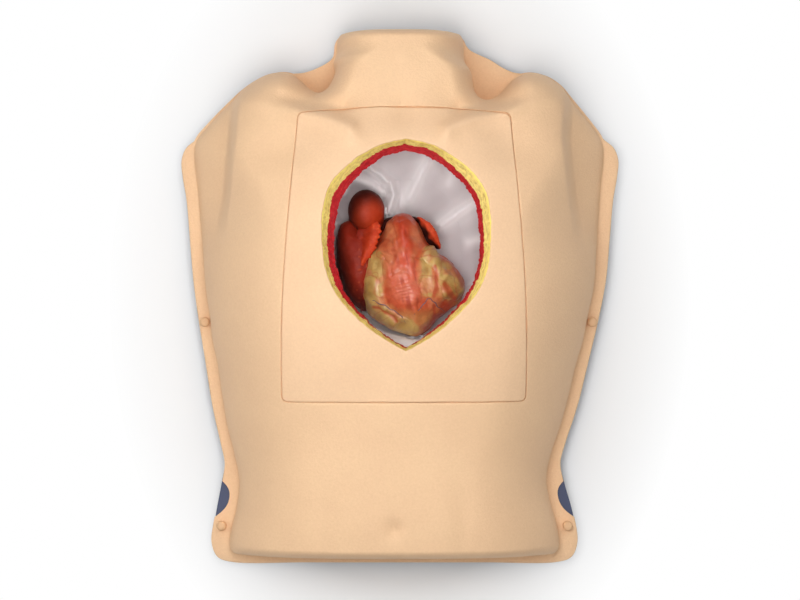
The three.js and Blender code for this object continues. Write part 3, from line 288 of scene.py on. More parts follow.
def body_sides():
    sides = []
    for sign, neck in ((1, NECK_RIGHT), (-1, NECK_LEFT)):
        line = curve_through(BODY_FLANK + neck, 400)
        sides.append(np.column_stack([along(BODY_LEAN, line[:, 1]) + sign * line[:, 0], line[:, 1]]))
    return sides


def body_outline():
    """The body's foot on the flange: its two sides, joined by the cut ends with rounded corners."""
    corner = PLAN_CORNER_RADIUS
    right, left = (side[(side[:, 1] > BELLY_END + corner) & (side[:, 1] < NECK_END - corner)]
                   for side in BODY_SIDES)

    def rounding(start, inward, edge):
        angle = np.linspace(0.1, 1, 10) * math.pi / 2
        return np.column_stack([start[0] + inward * corner * (1 - np.cos(angle)),
                                start[1] + (edge - start[1]) * np.sin(angle)])

    return np.vstack([right, rounding(right[-1], -1, NECK_END),
                      rounding(left[-1], 1, NECK_END)[::-1], left[::-1],
                      rounding(left[0], 1, BELLY_END),
                      rounding(right[0], -1, BELLY_END)[::-1]])


OUTLINE_POINTS = 1200
BODY_SIDES = body_sides()
FLANGE_OUTLINE = closed_outline(FLANGE_SIDE, FLANGE_LEAN, OUTLINE_POINTS)


def rounded(distance, radius, power):
    return (1 - (1 - np.clip(distance / radius, 0, 1)) ** power) ** (1 / power)


def body_height(x, y):
    """Height of the body above the flange."""
    across = np.abs(x - along(BODY_LEAN, y))
    top = along(CREST, y) - BULGE * (across / 100) ** BULGE_POWER
    inboard = 1 - SHOULDER_FADE * smooth(*SHOULDER_FADE_ACROSS, across)
    for share, (height, width, path) in ((inboard, CLAVICLE), (inboard, FOSSA), (1, NECK_MUSCLE),
                                         (1, RIB_ARCH)):
        top += height * share * ridge(across, y, path, width)
    for height, *where in SWELLS:
        top += height * bump(across, y, *where)
    past = across - along(ARM_GROOVE, y)
    top *= 1 - ARM_STEP * smooth(*ARM_STEP_ACROSS, past) * smooth(*ARM_STEP_ALONG, y)
    side = np.minimum(*(distance_to(line, x, y) for line in BODY_SIDES))
    return (top * rounded(side, along(ROUNDING, y), along(SQUARENESS, y))
            * rounded(NECK_END - y, CUT_END_RADIUS, CUT_END_SQUARENESS)
            * rounded(y - BELLY_END, CUT_END_RADIUS, CUT_END_SQUARENESS))


def pad_outline(grow):
    """Outline of the chest pad, straight at the top and the bottom, bowed at the sides."""
    top, bottom = PAD_TOP_Y + grow, PAD_BOTTOM_Y - grow
    r = max(1, PAD_CORNER_RADIUS + grow)
    upper, lower = PAD_TOP_WIDTH / 2 + grow, PAD_BOTTOM_WIDTH / 2 + grow
    middle = lower + 0.5
    waist = bottom + (top - bottom) * PAD_WAIST
    t = np.linspace(0, 1, 24)[:, None]

    def quadratic(a, b, c):
        return (1 - t) ** 2 * a + 2 * t * (1 - t) * b + t**2 * c

    side = ((1 - t) ** 3 * np.array([lower, bottom + r])
            + 3 * t * (1 - t) ** 2 * np.array([middle, waist])
            + 3 * t**2 * (1 - t) * np.array([middle - 4, waist + PAD_WAIST_LENGTH])
            + t**3 * np.array([upper, top - r]))
    right = np.vstack([
        [[0, bottom]],
        quadratic(np.array([lower - r, bottom]), np.array([lower, bottom]),
                  np.array([lower, bottom + r])),
        side[1:],
        quadratic(np.array([upper, top - r]), np.array([upper, top]),
                  np.array([upper - r, top]))[1:],
        np.column_stack([np.linspace(upper - r, 0, 20)[1:], np.full(19, top)]),
    ])
    bow = 1 - np.clip(right[:, 0] / upper, 0, 1) ** 2
    right[:, 1] += PAD_TOP_BOW * smooth(waist, top, right[:, 1]) * bow
    left = right[1:-1][::-1] * [-1, 1]
    return np.vstack([right, left]) + [PAD_MIDDLE_X, 0]


SPOKES = 760                 # points of each ring of the shell and the pad


def spoke_angles():
    """Rays that the shell and the pad share, in even steps along the body's foot."""
    foot = resampled(body_outline(), SPOKES, closed=True)
    angles = np.arctan2(foot[:, 1] - CENTRE[1], foot[:, 0] - CENTRE[0])
    for wanted in (math.pi / 2, -math.pi / 2):
        away = np.abs(np.angle(np.exp(1j * (angles - wanted))))
        angles[np.argmin(away)] = wanted
    return angles


ANGLES = spoke_angles()
FOOT_RING = ray_hits(body_outline(), ANGLES, CENTRE)
FLANGE_RING = ray_hits(FLANGE_OUTLINE, ANGLES, CENTRE)
RECESS_RING = ray_hits(pad_outline(PAD_CLEARANCE), ANGLES, CENTRE)
PAD_RING = ray_hits(pad_outline(0), ANGLES, CENTRE)
WINDOW_RING = ray_hits(pad_outline(-LEDGE_WIDTH), ANGLES, CENTRE)
LAYER_RING = ray_hits(pad_outline(-LEDGE_WIDTH - PAD_CLEARANCE), ANGLES, CENTRE)


def incision_ring(share, wobble, seed):
    """Edge of the cut, from share 0 at the skin to share 1 at the muscle's lower edge. The cut is wider
    on the left side, and its face bulges there and at the top."""
    side = curve_through(INCISION_SIDE, 400) * [INCISION_WIDTH / 2, INCISION_LENGTH / 2]
    outline = np.vstack([side, side[1:-1][::-1] * [-1, 1]])
    hits = ray_hits(outline, ANGLES, (0.0, 0.0))
    reach = np.hypot(hits[:, 0], hits[:, 1])
    steep = along(CUT_SLOPE, np.degrees(np.arcsin(np.sin(ANGLES))))
    left = smooth(0.2, 0.9, -np.cos(ANGLES)) * smooth(-0.95, -0.4, np.sin(ANGLES))
    top = smooth(0.75, 0.98, np.sin(ANGLES))
    reach -= share * steep + left * (1.1 + 1.2 * share)
    reach += (2.6 * left + 2.4 * top) * math.sin(math.pi * share)
    direction = np.column_stack([np.cos(ANGLES), np.sin(ANGLES)])
    for k, (share_of_it, scale) in enumerate(((1, 9), (0.8, 3.2), (0.7, 1.4))):
        reach += wobble * share_of_it * value_noise(direction * 80, scale, seed + k)
    return CENTRE + direction * reach[:, None]


# Meshes
def join_rings(rings, closed_across):
    """Faces between rings that have as many points each. An end ring of one point is a tip."""
    sizes = [len(r) for r in rings]
    starts = np.concatenate([[0], np.cumsum(sizes)[:-1]])
    faces = []
    count = len(rings) if closed_across else len(rings) - 1
    for r in range(count):
        s = (r + 1) % len(rings)
        n = max(sizes[r], sizes[s])
        i = np.arange(n)
        j = (i + 1) % n
        a, b = starts[r] + i * (sizes[r] > 1), starts[r] + j * (sizes[r] > 1)
        c, d = starts[s] + j * (sizes[s] > 1), starts[s] + i * (sizes[s] > 1)
        if sizes[r] == 1:
            faces += np.column_stack([a, c, d]).tolist()
        elif sizes[s] == 1:
            faces += np.column_stack([a, b, c]).tolist()
        else:
            faces += np.column_stack([a, b, c, d]).tolist()
    return np.vstack(rings), faces


def signed_volume(points, faces):
    total = 0.0
    for size in (3, 4):
        group = np.array([f for f in faces if len(f) == size], int).reshape(-1, size)
        for k in range(1, size - 1):
            a, b, c = points[group[:, 0]], points[group[:, k]], points[group[:, k + 1]]
            total += float(np.sum(a * np.cross(b, c)))
    return total


def linked(name, data):
    """A new object of the scene with this data."""
    made = bpy.data.objects.new(name, data)
    bpy.context.scene.collection.objects.link(made)
    return made


def make_mesh(name, points, faces):
    """Smooth mesh object from points in millimetres, with its faces turned outwards."""
    if signed_volume(np.asarray(points), faces) < 0:
        faces = [f[::-1] for f in faces]
    mesh = bpy.data.meshes.new(name)
    mesh.from_pydata((np.asarray(points) * MM).tolist(), [], faces)
    mesh.polygons.foreach_set("use_smooth", [True] * len(mesh.polygons))
    mesh.update()
    return linked(name, mesh)


def lofted(name, rings, closed_across=False):
    return make_mesh(name, *join_rings(rings, closed_across))


def lift(ring, height):
    """The plan ring at a height: one number, one for each point, or a function of x and y."""
    if callable(height):
        height = height(ring[:, 0], ring[:, 1])
    return np.column_stack([ring, np.broadcast_to(height, len(ring))])


def tip(z, x=CENTRE[0], y=CENTRE[1]):
    """A ring of one point, which closes the end of a lofted body."""
    return np.array([[x, y, z]])


def prism(name, plan, low, high, x, y):
    """Straight solid over a plan that can be seen whole from the point x, y."""
    return lofted(name, [tip(low, x, y), lift(plan, low), lift(plan, high), tip(high, x, y)])


def between(ring_a, ring_b, t):
    return ring_a + (ring_b - ring_a) * t


def turned(name, profile, sides=64):
    """Solid of revolution about Z from an [r, z] profile that starts and ends on the axis,
    or closes on itself where it has a bore."""
    angle = circle(sides)
    rings = []
    for r, z in profile:
        if r < 1e-6:
            rings.append(tip(z, 0.0, 0.0))
        else:
            rings.append(np.column_stack([r * np.cos(angle), r * np.sin(angle),
                                          np.full(sides, float(z))]))
    return lofted(name, rings, closed_across=profile[0][0] > 1e-6)


def place(piece, x, y, z=0.0):
    """Moves the mesh itself, in millimetres. The object stays at the origin."""
    for vertex in piece.data.vertices:
        vertex.co += Vector((x, y, z)) * MM
    return piece


def bake(piece):
    """Applies the piece's modifiers to its mesh."""
    graph = bpy.context.evaluated_depsgraph_get()
    mesh = bpy.data.meshes.new_from_object(piece.evaluated_get(graph))
    piece.modifiers.clear()
    piece.data = mesh
    return piece


def combine(piece, others, operation, keep=False):
    """Exact boolean of the piece with the others, which are used up unless they are to be kept."""
    for other in others:
        modifier = piece.modifiers.new("combine", "BOOLEAN")
        modifier.operation = operation
        modifier.solver = "EXACT"
        modifier.object = other
    bake(piece)
    for other in [] if keep else others:
        bpy.data.objects.remove(other)
    return piece


def shade_by_angle(piece, degrees=38):
    """Smooth shading except over edges that turn more than this."""
    piece.data.set_sharp_from_angle(angle=math.radians(degrees))
    return piece


def finish_piece(piece, body, slot, finish, *nodes):
    """Gives the piece its material and its body, and hides the imported solids that it stands for. The
    slot is not used.
    """
    piece.data.materials.clear()
    piece.data.materials.append(finish.material)
    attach(piece, body)
    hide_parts(*nodes)
    return piece


def rod(x, y, radius, bottom, top, sides=32):
    return place(turned("rod", [[0, bottom], [radius, bottom], [radius, top], [0, top]], sides), x, y)


# Materials
def srgb(red, green, blue):
    """Linear colour with alpha from 0 to 255 screen values."""
    linear = [v / 12.92 if v <= 0.04045 else ((v + 0.055) / 1.055) ** 2.4
              for v in (red / 255, green / 255, blue / 255)]
    return (*linear, 1.0)


STRAND_STRETCH = 0.16       # how far the strands' pattern runs along the cut's edge, for each mm
STRANDS_DEEP = 5.5          # and across the whole cut


class Graph:
    """Node tree of a material or the world."""

    def __init__(self, owner):
        owner.use_nodes = True
        self.tree = owner.node_tree

    def put(self, node, socket, value):
        if isinstance(value, bpy.types.NodeSocket):
            self.tree.links.new(value, node.inputs[socket])
        else:
            node.inputs[socket].default_value = value

    def node(self, kind, inputs, **settings):
        made = self.tree.nodes.new("ShaderNode" + kind)
        for setting, value in settings.items():
            setattr(made, setting, value)
        for socket, value in inputs.items():
            self.put(made, socket, value)
        return made

    def math(self, operation, first, second):
        return self.node("Math", {0: first, 1: second}, operation=operation).outputs[0]

    def seen_by(self, *kinds):
        """1 for rays of these kinds, such as Camera, and 0 for the others."""
        rays = self.node("LightPath", {}).outputs
        seen = rays[f"Is {kinds[0]} Ray"]
        for kind in kinds[1:]:
            seen = self.math("MAXIMUM", seen, rays[f"Is {kind} Ray"])
        return seen

    def mix_shaders(self, share, first, second):
        return self.node("MixShader", {0: share, 1: first, 2: second}).outputs[0]


class Finish(Graph):
    """Node graph of one material around its Principled shader."""

    def __init__(self, name, **sockets):
        self.material = bpy.data.materials.new(name)
        super().__init__(self.material)
        self.shader = self.tree.nodes["Principled BSDF"]
        self.place = self.node("TexCoord", {}).outputs["Object"]
        for socket, value in sockets.items():
            self.put(self.shader, socket.replace("_", " "), value)

    def noise(self, size, detail=4.0, roughness=0.5, distortion=0.0, vector=None):
        """Noise from 0 to 1 with features about size millimetres long."""
        return self.node("TexNoise", {
            "Vector": vector or self.place, "Scale": 1 / (size * MM), "Detail": detail,
            "Roughness": roughness, "Distortion": distortion,
        }).outputs["Fac"]

    def cells(self, size):
        """Distance from the middle of cells about size millimetres wide."""
        return self.node("TexVoronoi", {
            "Vector": self.place, "Scale": 1 / (size * MM)}).outputs["Distance"]

    def stored(self, name, output="Fac"):
        """A value or a colour that the mesh stores for each vertex."""
        return self.node("Attribute", {}, attribute_name=name).outputs[output]

    def strand_place(self):
        """Coordinates that run with the cut: long along its edge and short across it."""
        arc = self.math("MULTIPLY", self.stored("arc"), STRAND_STRETCH * MM)
        deep = self.math("MULTIPLY", self.stored("depth_share"), STRANDS_DEEP * MM)
        return self.node("CombineXYZ", {"X": arc, "Y": deep}).outputs["Vector"]

    def ramp(self, value, *stops):
        made = self.node("ValToRGB", {"Fac": value})
        elements = made.color_ramp.elements
        while len(elements) < len(stops):
            elements.new(0.5)
        for element, (position, color) in zip(elements, stops):
            element.position = position
            element.color = color if hasattr(color, "__len__") else (color, color, color, 1)
        return made.outputs["Color"]

    def mix(self, share, first, second, blend="MIX"):
        """Blend of two colours, in the colour sockets of the mix node."""
        return self.node("Mix", {0: share, 6: first, 7: second}, data_type="RGBA", blend_type=blend,
                         clamp_result=True).outputs[2]

    def color(self, value):
        self.put(self.shader, "Base Color", value)

    def rough(self, value, low, high):
        """Roughness from low to high as the noise goes from 0.3 to 0.7."""
        self.put(self.shader, "Roughness", self.ramp(value, (0.3, low), (0.7, high)))

    def relief(self, *layers):
        """Bump from (height, depth in millimetres) layers, the coarse ones first."""
        normal = None
        for height, depth in layers:
            made = self.node("Bump", {"Height": height, "Strength": 1.0, "Distance": depth * MM})
            if normal is not None:
                self.put(made, "Normal", normal)
            normal = made.outputs["Normal"]
        self.put(self.shader, "Normal", normal)
        return self


def skin_finish(name, base, warm, grain, depth):
    """Moulded skin-coloured plastic: soft mottling under a leather-like grain."""
    f = Finish(name, Specular_IOR_Level=0.32)
    mottled = f.noise(46, 3, 0.55)
    speckled = f.noise(2.2, 3, 0.6)
    tone = f.mix(f.ramp(mottled, (0.35, 0.0), (0.72, 1.0)), base, warm)
    f.color(f.mix(f.ramp(speckled, (0.3, 0.0), (0.75, 0.16)), tone, srgb(196, 150, 110)))
    f.rough(f.noise(5, 3), 0.56, 0.66)
    return f.relief((f.noise(grain * 2.2, 2, 0.6), depth), (f.cells(grain), depth * 0.7))


SHELL_SKIN = skin_finish("shell_skin", srgb(241, 201, 160), srgb(244, 205, 163), 1.5, 0.22)
PAD_SKIN = skin_finish("pad_skin", srgb(244, 204, 164), srgb(246, 207, 167), 0.9, 0.1)
PEG_SKIN = skin_finish("peg_plastic", srgb(226, 184, 142), srgb(231, 190, 148), 0.8, 0.05)


def plain_finish(name, blotches, dark, light, polish, low, high, grain, depth, **sockets):
    """One colour with soft blotches, uneven polish and a fine grain; each noise is (size, detail)."""
    f = Finish(name, **sockets)
    f.color(f.mix(f.noise(*blotches), srgb(*dark), srgb(*light)))
    f.rough(f.noise(*polish), low, high)
    return f.relief((f.noise(*grain), depth))


BOARD_BLUE = plain_finish("board_blue", (30, 4), (62, 70, 100), (74, 82, 112), (3, 4), 0.42, 0.55,
                          (0.8, 3), 0.05, Specular_IOR_Level=0.4)
FOOT_RUBBER = plain_finish("foot_rubber", (6, 4), (28, 28, 30), (44, 44, 45), (1.5, 3), 0.75, 0.9,
                           (0.7, 3), 0.06, Specular_IOR_Level=0.25)
STEEL = plain_finish("zinc_steel", (2, 3), (176, 178, 180), (204, 204, 200), (0.8, 3), 0.26, 0.42,
                     (0.5, 2), 0.02, Metallic=1.0)
TRAY_GREY = plain_finish("tray_grey", (25, 4), (206, 207, 210), (218, 219, 221), (4, 3), 0.42, 0.54,
                         (0.9, 2), 0.06, Specular_IOR_Level=0.4)
VEIN_INK = plain_finish("vein_ink", (3, 4), (84, 66, 80), (136, 104, 104), (2, 3), 0.3, 0.45,
                        (1, 3), 0.1, Specular_IOR_Level=0.5)


def fat_foam_finish():
    """Cut fat: ochre lobules, lighter yellow along the skin's edge."""
    f = Finish("cut_fat", Specular_IOR_Level=0.45, Subsurface_Weight=0.08, Subsurface_Scale=0.003)
    deep = f.stored("depth_share")
    strands = f.noise(1, 5, 0.6, 0.5, vector=f.strand_place())
    flesh = f.mix(f.ramp(strands, (0.4, 0.0), (0.58, 1.0)), srgb(196, 158, 74), srgb(240, 210, 116))
    lobules = f.cells(2.6)
    flesh = f.mix(f.ramp(lobules, (0.1, 0.0), (0.7, 0.4)), flesh, srgb(248, 224, 134))
    f.color(f.mix(f.ramp(deep, (0.03, 1.0), (0.26, 0.0)), flesh, srgb(255, 234, 120)))
    f.rough(strands, 0.36, 0.52)
    return f.relief((strands, 0.6), (lobules, 0.25))


def cut_muscle_finish():
    """Cut muscle: red fibres along the cut."""
    f = Finish("cut_muscle", Specular_IOR_Level=0.3, Subsurface_Weight=0.06, Subsurface_Scale=0.002)
    fibres = f.noise(1, 5, 0.65, 0.5, vector=f.strand_place())
    f.color(f.ramp(fibres, (0.25, srgb(110, 8, 14)), (0.5, srgb(184, 20, 30)),
                   (0.8, srgb(212, 52, 50))))
    f.rough(fibres, 0.36, 0.5)
    return f.relief((fibres, 0.6), (f.noise(0.6, 3), 0.15))


CUT_FAT = fat_foam_finish()
CUT_MUSCLE = cut_muscle_finish()


# Torso shell
SHELL_RINGS = 110
FILLET_HEIGHT = 1.5          # of the rounding where the body meets the flange


def surface(x, y):
    return FLANGE_TOP + body_height(x, y)


def inset(ring, distance):
    """A ring moved inwards, square to itself."""
    tangent = np.roll(ring, -1, axis=0) - np.roll(ring, 1, axis=0)
    normal = np.column_stack([tangent[:, 1], -tangent[:, 0]])
    return ring - unit(normal) * distance


def edge_place(outline, sign, y, inward):
    """A plan place at y, set in from the outline's right edge for sign 1, left for -1."""
    edge = ray_hits(outline, np.array([0.0 if sign > 0 else math.pi]), (0.0, y))[0, 0]
    return edge - sign * inward, y


def notch_scoop(sign):
    """What the scoop for the fingers takes out of the flange's edge, on the right for sign 1."""
    half = NOTCH_LENGTH / 2
    beyond = 2 * NOTCH_DEPTH
    plan = [edge_place(FLANGE_OUTLINE, sign, NOTCH_Y + half * share,
                       NOTCH_DEPTH * (1 - abs(share) ** NOTCH_SQUARENESS))
            for share in np.linspace(-1, 1, 49)]
    deepest = plan[len(plan) // 2][0]
    plan += [(plan[-1][0] + sign * beyond, NOTCH_Y + half + beyond / 4),
             (plan[0][0] + sign * beyond, NOTCH_Y - half - beyond / 4)]
    return prism("scoop", np.array(plan)[::sign], FLANGE_BOTTOM - 1, FLANGE_TOP + 1,
                 deepest + sign * (NOTCH_DEPTH + beyond / 4), NOTCH_Y)


def outward(grid):
    """Unit normals of a grid that closes around its sides, with its rows from the top down."""
    around = np.roll(grid, -1, axis=1) - np.roll(grid, 1, axis=1)
    normal = np.cross(np.gradient(grid, axis=0), around)
    return normal / np.maximum(np.linalg.norm(normal, axis=2)[..., None], 1e-9)


def shell_wall():
    """Rings up the outside of the body, from its foot to the edge of the recess."""
    rings = []
    for k in range(SHELL_RINGS + 1):
        ring = between(FOOT_RING, inset(RECESS_RING, -0.5), (k / SHELL_RINGS) ** 2.2)
        height = body_height(ring[:, 0], ring[:, 1])
        height += FILLET_HEIGHT * np.exp(-height / 3)
        rings.append(lift(ring, FLANGE_TOP + height))
    return rings


def torso_shell():
    """Flange, body, recess with its ledge, and the inside, in one loft that closes on itself."""
    edge = FLANGE_RING
    wall = shell_wall()
    rim = [lift(inset(edge, 0.6), FLANGE_BOTTOM), lift(edge, FLANGE_BOTTOM + 0.7),
           lift(edge, FLANGE_TOP - 1.0), lift(inset(edge, 0.35), FLANGE_TOP - 0.3),
           lift(inset(edge, 1.1), FLANGE_TOP)]
    flange = [lift(between(inset(edge, 1.1), inset(FOOT_RING, -3), t), FLANGE_TOP)
              for t in (0.35, 0.7, 1.0)]
    fillet = [lift(inset(FOOT_RING, -1.4), FLANGE_TOP + 0.25),
              lift(inset(FOOT_RING, -0.5), FLANGE_TOP + 0.75)]
    lip = wall[-1][:, 2]

    def ledge(x, y):
        return surface(x, y) + SKIN_PROUD - SKIN_THICKNESS - SEAT_GAP

    recess = [lift(inset(RECESS_RING, -0.15), lip - 0.12), lift(RECESS_RING, lip - 0.5),
              *(lift(between(RECESS_RING, WINDOW_RING, t), ledge) for t in np.linspace(0, 1, 13)),
              lift(WINDOW_RING, lambda x, y: ledge(x, y) - SHELL_WALL)]
    normal = outward(np.array(wall))
    normal *= np.sign(np.mean(normal[-20][:, 2]))
    inner = [wall[k] - normal[k] * SHELL_WALL for k in range(SHELL_RINGS - 2, 2, -4)]
    foot = lift(inset(FOOT_RING, SHELL_WALL), FLANGE_BOTTOM + SHELL_WALL)
    under = [foot, lift(inset(FOOT_RING, SHELL_WALL - 1), FLANGE_BOTTOM),
             lift(between(FOOT_RING, edge, 0.5), FLANGE_BOTTOM)]
    rings = rim + flange + fillet + wall + recess + inner + under
    piece = lofted("torso_moulding", rings, closed_across=True)
    holes = [rod(x, y, PEG_HOLE_RADIUS, FLANGE_BOTTOM - 1, FLANGE_TOP + 1) for _, x, y in PEG_PLACES]
    combine(piece, holes + [notch_scoop(1), notch_scoop(-1)], "DIFFERENCE")
    shade_by_angle(piece, 50)
    return finish_piece(piece, "shell", "shell_plastic", SHELL_SKIN, "torso_shell")


PEG_PLACES = [(f"peg_{level}_{side}", *edge_place(FLANGE_OUTLINE, sign, y, inward))
              for level, y, inward in (("upper", UPPER_PEG_Y, UPPER_PEG_INSET),
                                       ("lower", LOWER_PEG_Y, LOWER_PEG_INSET))
              for side, sign in (("left", -1), ("right", 1))]


def pegs():
    """Round domed heads on tapered shanks."""
    head = FLANGE_TOP + SEAT_GAP
    end = BOARD_TOP - PEG_SHANK_DEPTH
    r, h, s = PEG_HEAD_RADIUS, PEG_HEAD_HEIGHT, PEG_SHANK_RADIUS
    profile = [[0, end], [s * 0.5, end + 0.1], [s * 0.8, end + 0.8], [s, end + 2], [s, head - 0.3],
               [s + 0.4, head], [r - 0.3, head], [r, head + 0.4], [r, head + h * 0.5],
               [r * 0.985, head + h * 0.66], [r * 0.93, head + h * 0.8], [r * 0.8, head + h * 0.92],
               [r * 0.55, head + h * 0.985], [0, head + h]]
    for name, x, y in PEG_PLACES:
        piece = place(turned(name + "_dome", profile), x, y)
        finish_piece(shade_by_angle(piece, 50), name, "peg_plastic", PEG_SKIN, name)


# Chest pad
PAD_RINGS = 70
CUT_ROWS = 14                # down the cut face of a layer
TOP_SHARES = (0, 0.3, 0.6, 0.85, 0.97)    # rings of a layer's flat top, from its border to the cut
UNDER_SHARES = (0.97, 0.6, 0.3, 0)        # and of its underside, back to the border


def pad_top(x, y):
    return surface(x, y) + SKIN_PROUD


def below_pad_top(ring, drop):
    return lift(ring, lambda x, y: pad_top(x, y) - drop)


def set_field(piece, name, values):
    """Stores one number a vertex, for the material to read."""
    layer = piece.data.attributes.new(name, "FLOAT", "POINT")
    layer.data.foreach_set("value", np.asarray(values, np.float32))


def wavy_border(ring):
    """The soft border wanders a little, most of all along the top."""
    push = 0.35 * value_noise(ring, 34, 5) + 0.2 * value_noise(ring, 9, 6)
    top = smooth(PAD_TOP_Y - 8, PAD_TOP_Y - 1, ring[:, 1])
    push = push + top * (0.5 + 0.6 * value_noise(ring, 26, 7))
    return inset(ring, 0.1 + np.clip(push, 0, 2)[:, None])


def chest_skin():
    border = wavy_border(PAD_RING)
    cut = incision_ring(0, 0.3, 2)
    rings = [below_pad_top(inset(border, d), drop)
             for d, drop in ((0, 2.2), (0, 0.6), (0.15, 0.2), (0.5, 0.04))]
    rounding = 1.2
    outer_edge = inset(border, rounding)
    inner_edge = CENTRE + (cut - CENTRE) * (1 + rounding / np.linalg.norm(cut - CENTRE, axis=1)[:, None])
    rings += [below_pad_top(between(outer_edge, inner_edge, k / PAD_RINGS), 0)
              for k in range(PAD_RINGS + 1)]
    rings += [below_pad_top(between(inner_edge, cut, share), drop)
              for share, drop in ((0.4, 0.12), (0.85, 0.5), (1.0, 1.1), (1.0, SKIN_THICKNESS))]
    rings += [below_pad_top(between(border, cut, t), SKIN_THICKNESS)
              for t in np.linspace(0.97, 0, 30) ** 1.5]
    piece = shade_by_angle(lofted("chest_skin", rings, closed_across=True), 60)
    return finish_piece(piece, "chest_pad", "pad_skin", PAD_SKIN, "chest_skin_pad")


def cut_layer(name, depth, thickness, top_edge, low_edge, seed, lumps, size):
    """A layer of the pad: flat above and below, with a rough sloping cut face."""
    rings = [below_pad_top(between(LAYER_RING, top_edge, t), depth) for t in TOP_SHARES]
    direction = unit(top_edge - CENTRE)
    for k in range(CUT_ROWS + 1):
        t = k / CUT_ROWS
        ring = between(top_edge, low_edge, t)
        points = np.column_stack([ring, np.full(len(ring), t * 9.0)])
        rough = lumps * (value_noise(points, size, seed) + 0.5 * value_noise(points, size * 0.4, seed + 3))
        ring = ring - direction * (rough * math.sin(math.pi * min(1, 0.25 + t * 0.75)))[:, None]
        z = pad_top(ring[:, 0], ring[:, 1]) - depth - thickness * t
        rings.append(np.column_stack([ring, z]))
    rings += [below_pad_top(between(LAYER_RING, low_edge, t), depth + thickness)
              for t in UNDER_SHARES]
    piece = lofted(name, rings, closed_across=True)
    depth_share = np.concatenate([np.zeros(len(TOP_SHARES)), np.arange(CUT_ROWS + 1) / CUT_ROWS,
                                  np.ones(len(UNDER_SHARES))])
    step = np.linalg.norm(np.roll(top_edge, -1, axis=0) - top_edge, axis=1)
    set_field(piece, "depth_share", np.repeat(depth_share, SPOKES))
    set_field(piece, "arc", np.tile(np.concatenate([[0], np.cumsum(step)[:-1]]), len(depth_share)))
    return shade_by_angle(piece, 60)


def pad_layers():
    """The fat from the skin's own edge down, and the muscle, whose edge is more ragged, under it."""
    fat_depth = SKIN_THICKNESS + SEAT_GAP
    fat = cut_layer("chest_fat", fat_depth, FAT_THICKNESS, incision_ring(0, 0.3, 2),
                    incision_ring(FAT_SHARE, 0.75, 11), 11, 0.5, 5.0)
    finish_piece(fat, "chest_pad", "pad_fat", CUT_FAT, "fat_layer")
    muscle = cut_layer("chest_muscle", fat_depth + FAT_THICKNESS + SEAT_GAP, MUSCLE_THICKNESS,
                       incision_ring(FAT_SHARE, 0.9, 21), incision_ring(1, 0.75, 21), 21, 0.55, 3.4)
    finish_piece(muscle, "chest_pad", "pad_muscle", CUT_MUSCLE, "muscle_layer")


# Base board, feet and screws
BOARD_OUTLINE = closed_outline(BOARD_SIDE, FLANGE_LEAN, OUTLINE_POINTS)
BOARD_RING = ray_hits(BOARD_OUTLINE, ANGLES, CENTRE)
CORNERS = ("upper_right", "upper_left", "lower_left", "lower_right")
FOOT_RADIUS = 12
FOOT_TOP_RADIUS = 14
FOOT_RECESS_DEPTH = 4
SCREW_RADIUS = 1.8
SCREW_HEAD_RADIUS = 3.8
SCREW_HEAD_HEIGHT = 2.4
SCREW_LENGTH = 16
SCREW_BORE = SCREW_RADIUS + 0.35
SCREW_POCKET = SCREW_HEAD_RADIUS + 0.35
THREAD_PITCH = 1.1
THREAD_DEPTH = 0.28
CROSS_LENGTH = 2.5           # half the length and half the width of the slots in the head
CROSS_WIDTH = 0.55
FOOT_INSET = 31              # from the board's edge
FOOT_LINES = ((1, 130), (-1, 130), (-1, -228), (1, -228))
TRAY_HALF_WIDTH = 88
TRAY_HALF_LENGTH = 107
TRAY_SQUARENESS = 2.3
TRAY_WALL = 3
TRAY_RIM = 9
TRAY_DEPTH = TRAY_RIM_TOP - TRAY_FLOOR
POST_RADIUS = 6.5
POST_REACH = 14
POST_ANGLES = np.radians([47, 133, 227, 313])
LUG_TOP = TRAY_RIM_TOP - 30
LUG_UNDER = LUG_TOP - 5
LUG_WIDTH = 18


def bowl_points(angle, share, grow):
    """Superellipse of the tray, share 1 at the rim, moved outwards by grow."""
    power = TRAY_SQUARENESS
    c = np.abs(np.cos(angle) / (TRAY_HALF_WIDTH * share + grow)) ** power
    s = np.abs(np.sin(angle) / (TRAY_HALF_LENGTH * share + grow)) ** power
    r = (c + s) ** (-1 / power)
    return CENTRE + np.column_stack([r * np.cos(angle), r * np.sin(angle)])


FOOT_PLACES = [edge_place(BOARD_OUTLINE, sign, y, FOOT_INSET) for sign, y in FOOT_LINES]
POST_PLACES = bowl_points(POST_ANGLES, 1, TRAY_RIM + POST_REACH)


def base_board():
    bevel = 0.8
    board = lofted("board_slab", [
        tip(BOARD_BOTTOM), lift(inset(BOARD_RING, bevel), BOARD_BOTTOM),
        lift(BOARD_RING, BOARD_BOTTOM + bevel), lift(BOARD_RING, BOARD_TOP - bevel),
        lift(inset(BOARD_RING, bevel), BOARD_TOP), tip(BOARD_TOP)])
    pocket = BOARD_BOTTOM + SCREW_HEAD_HEIGHT + SEAT_GAP
    stepped = [[0, BOARD_BOTTOM - 1], [SCREW_POCKET, BOARD_BOTTOM - 1], [SCREW_POCKET, pocket],
               [SCREW_BORE, pocket], [SCREW_BORE, BOARD_TOP + 1], [0, BOARD_TOP + 1]]
    holes = [rod(x, y, PEG_HOLE_RADIUS, BOARD_BOTTOM - 1, BOARD_TOP + 1) for _, x, y in PEG_PLACES]
    holes += [place(turned("bore", stepped, 32), x, y) for x, y in POST_PLACES]
    holes += [rod(x, y, SCREW_BORE, BOARD_BOTTOM - 1, BOARD_TOP - 1.5) for x, y in FOOT_PLACES]
    combine(board, holes, "DIFFERENCE")
    finish_piece(shade_by_angle(board), "base", "board_plastic", BOARD_BLUE, "base_board")


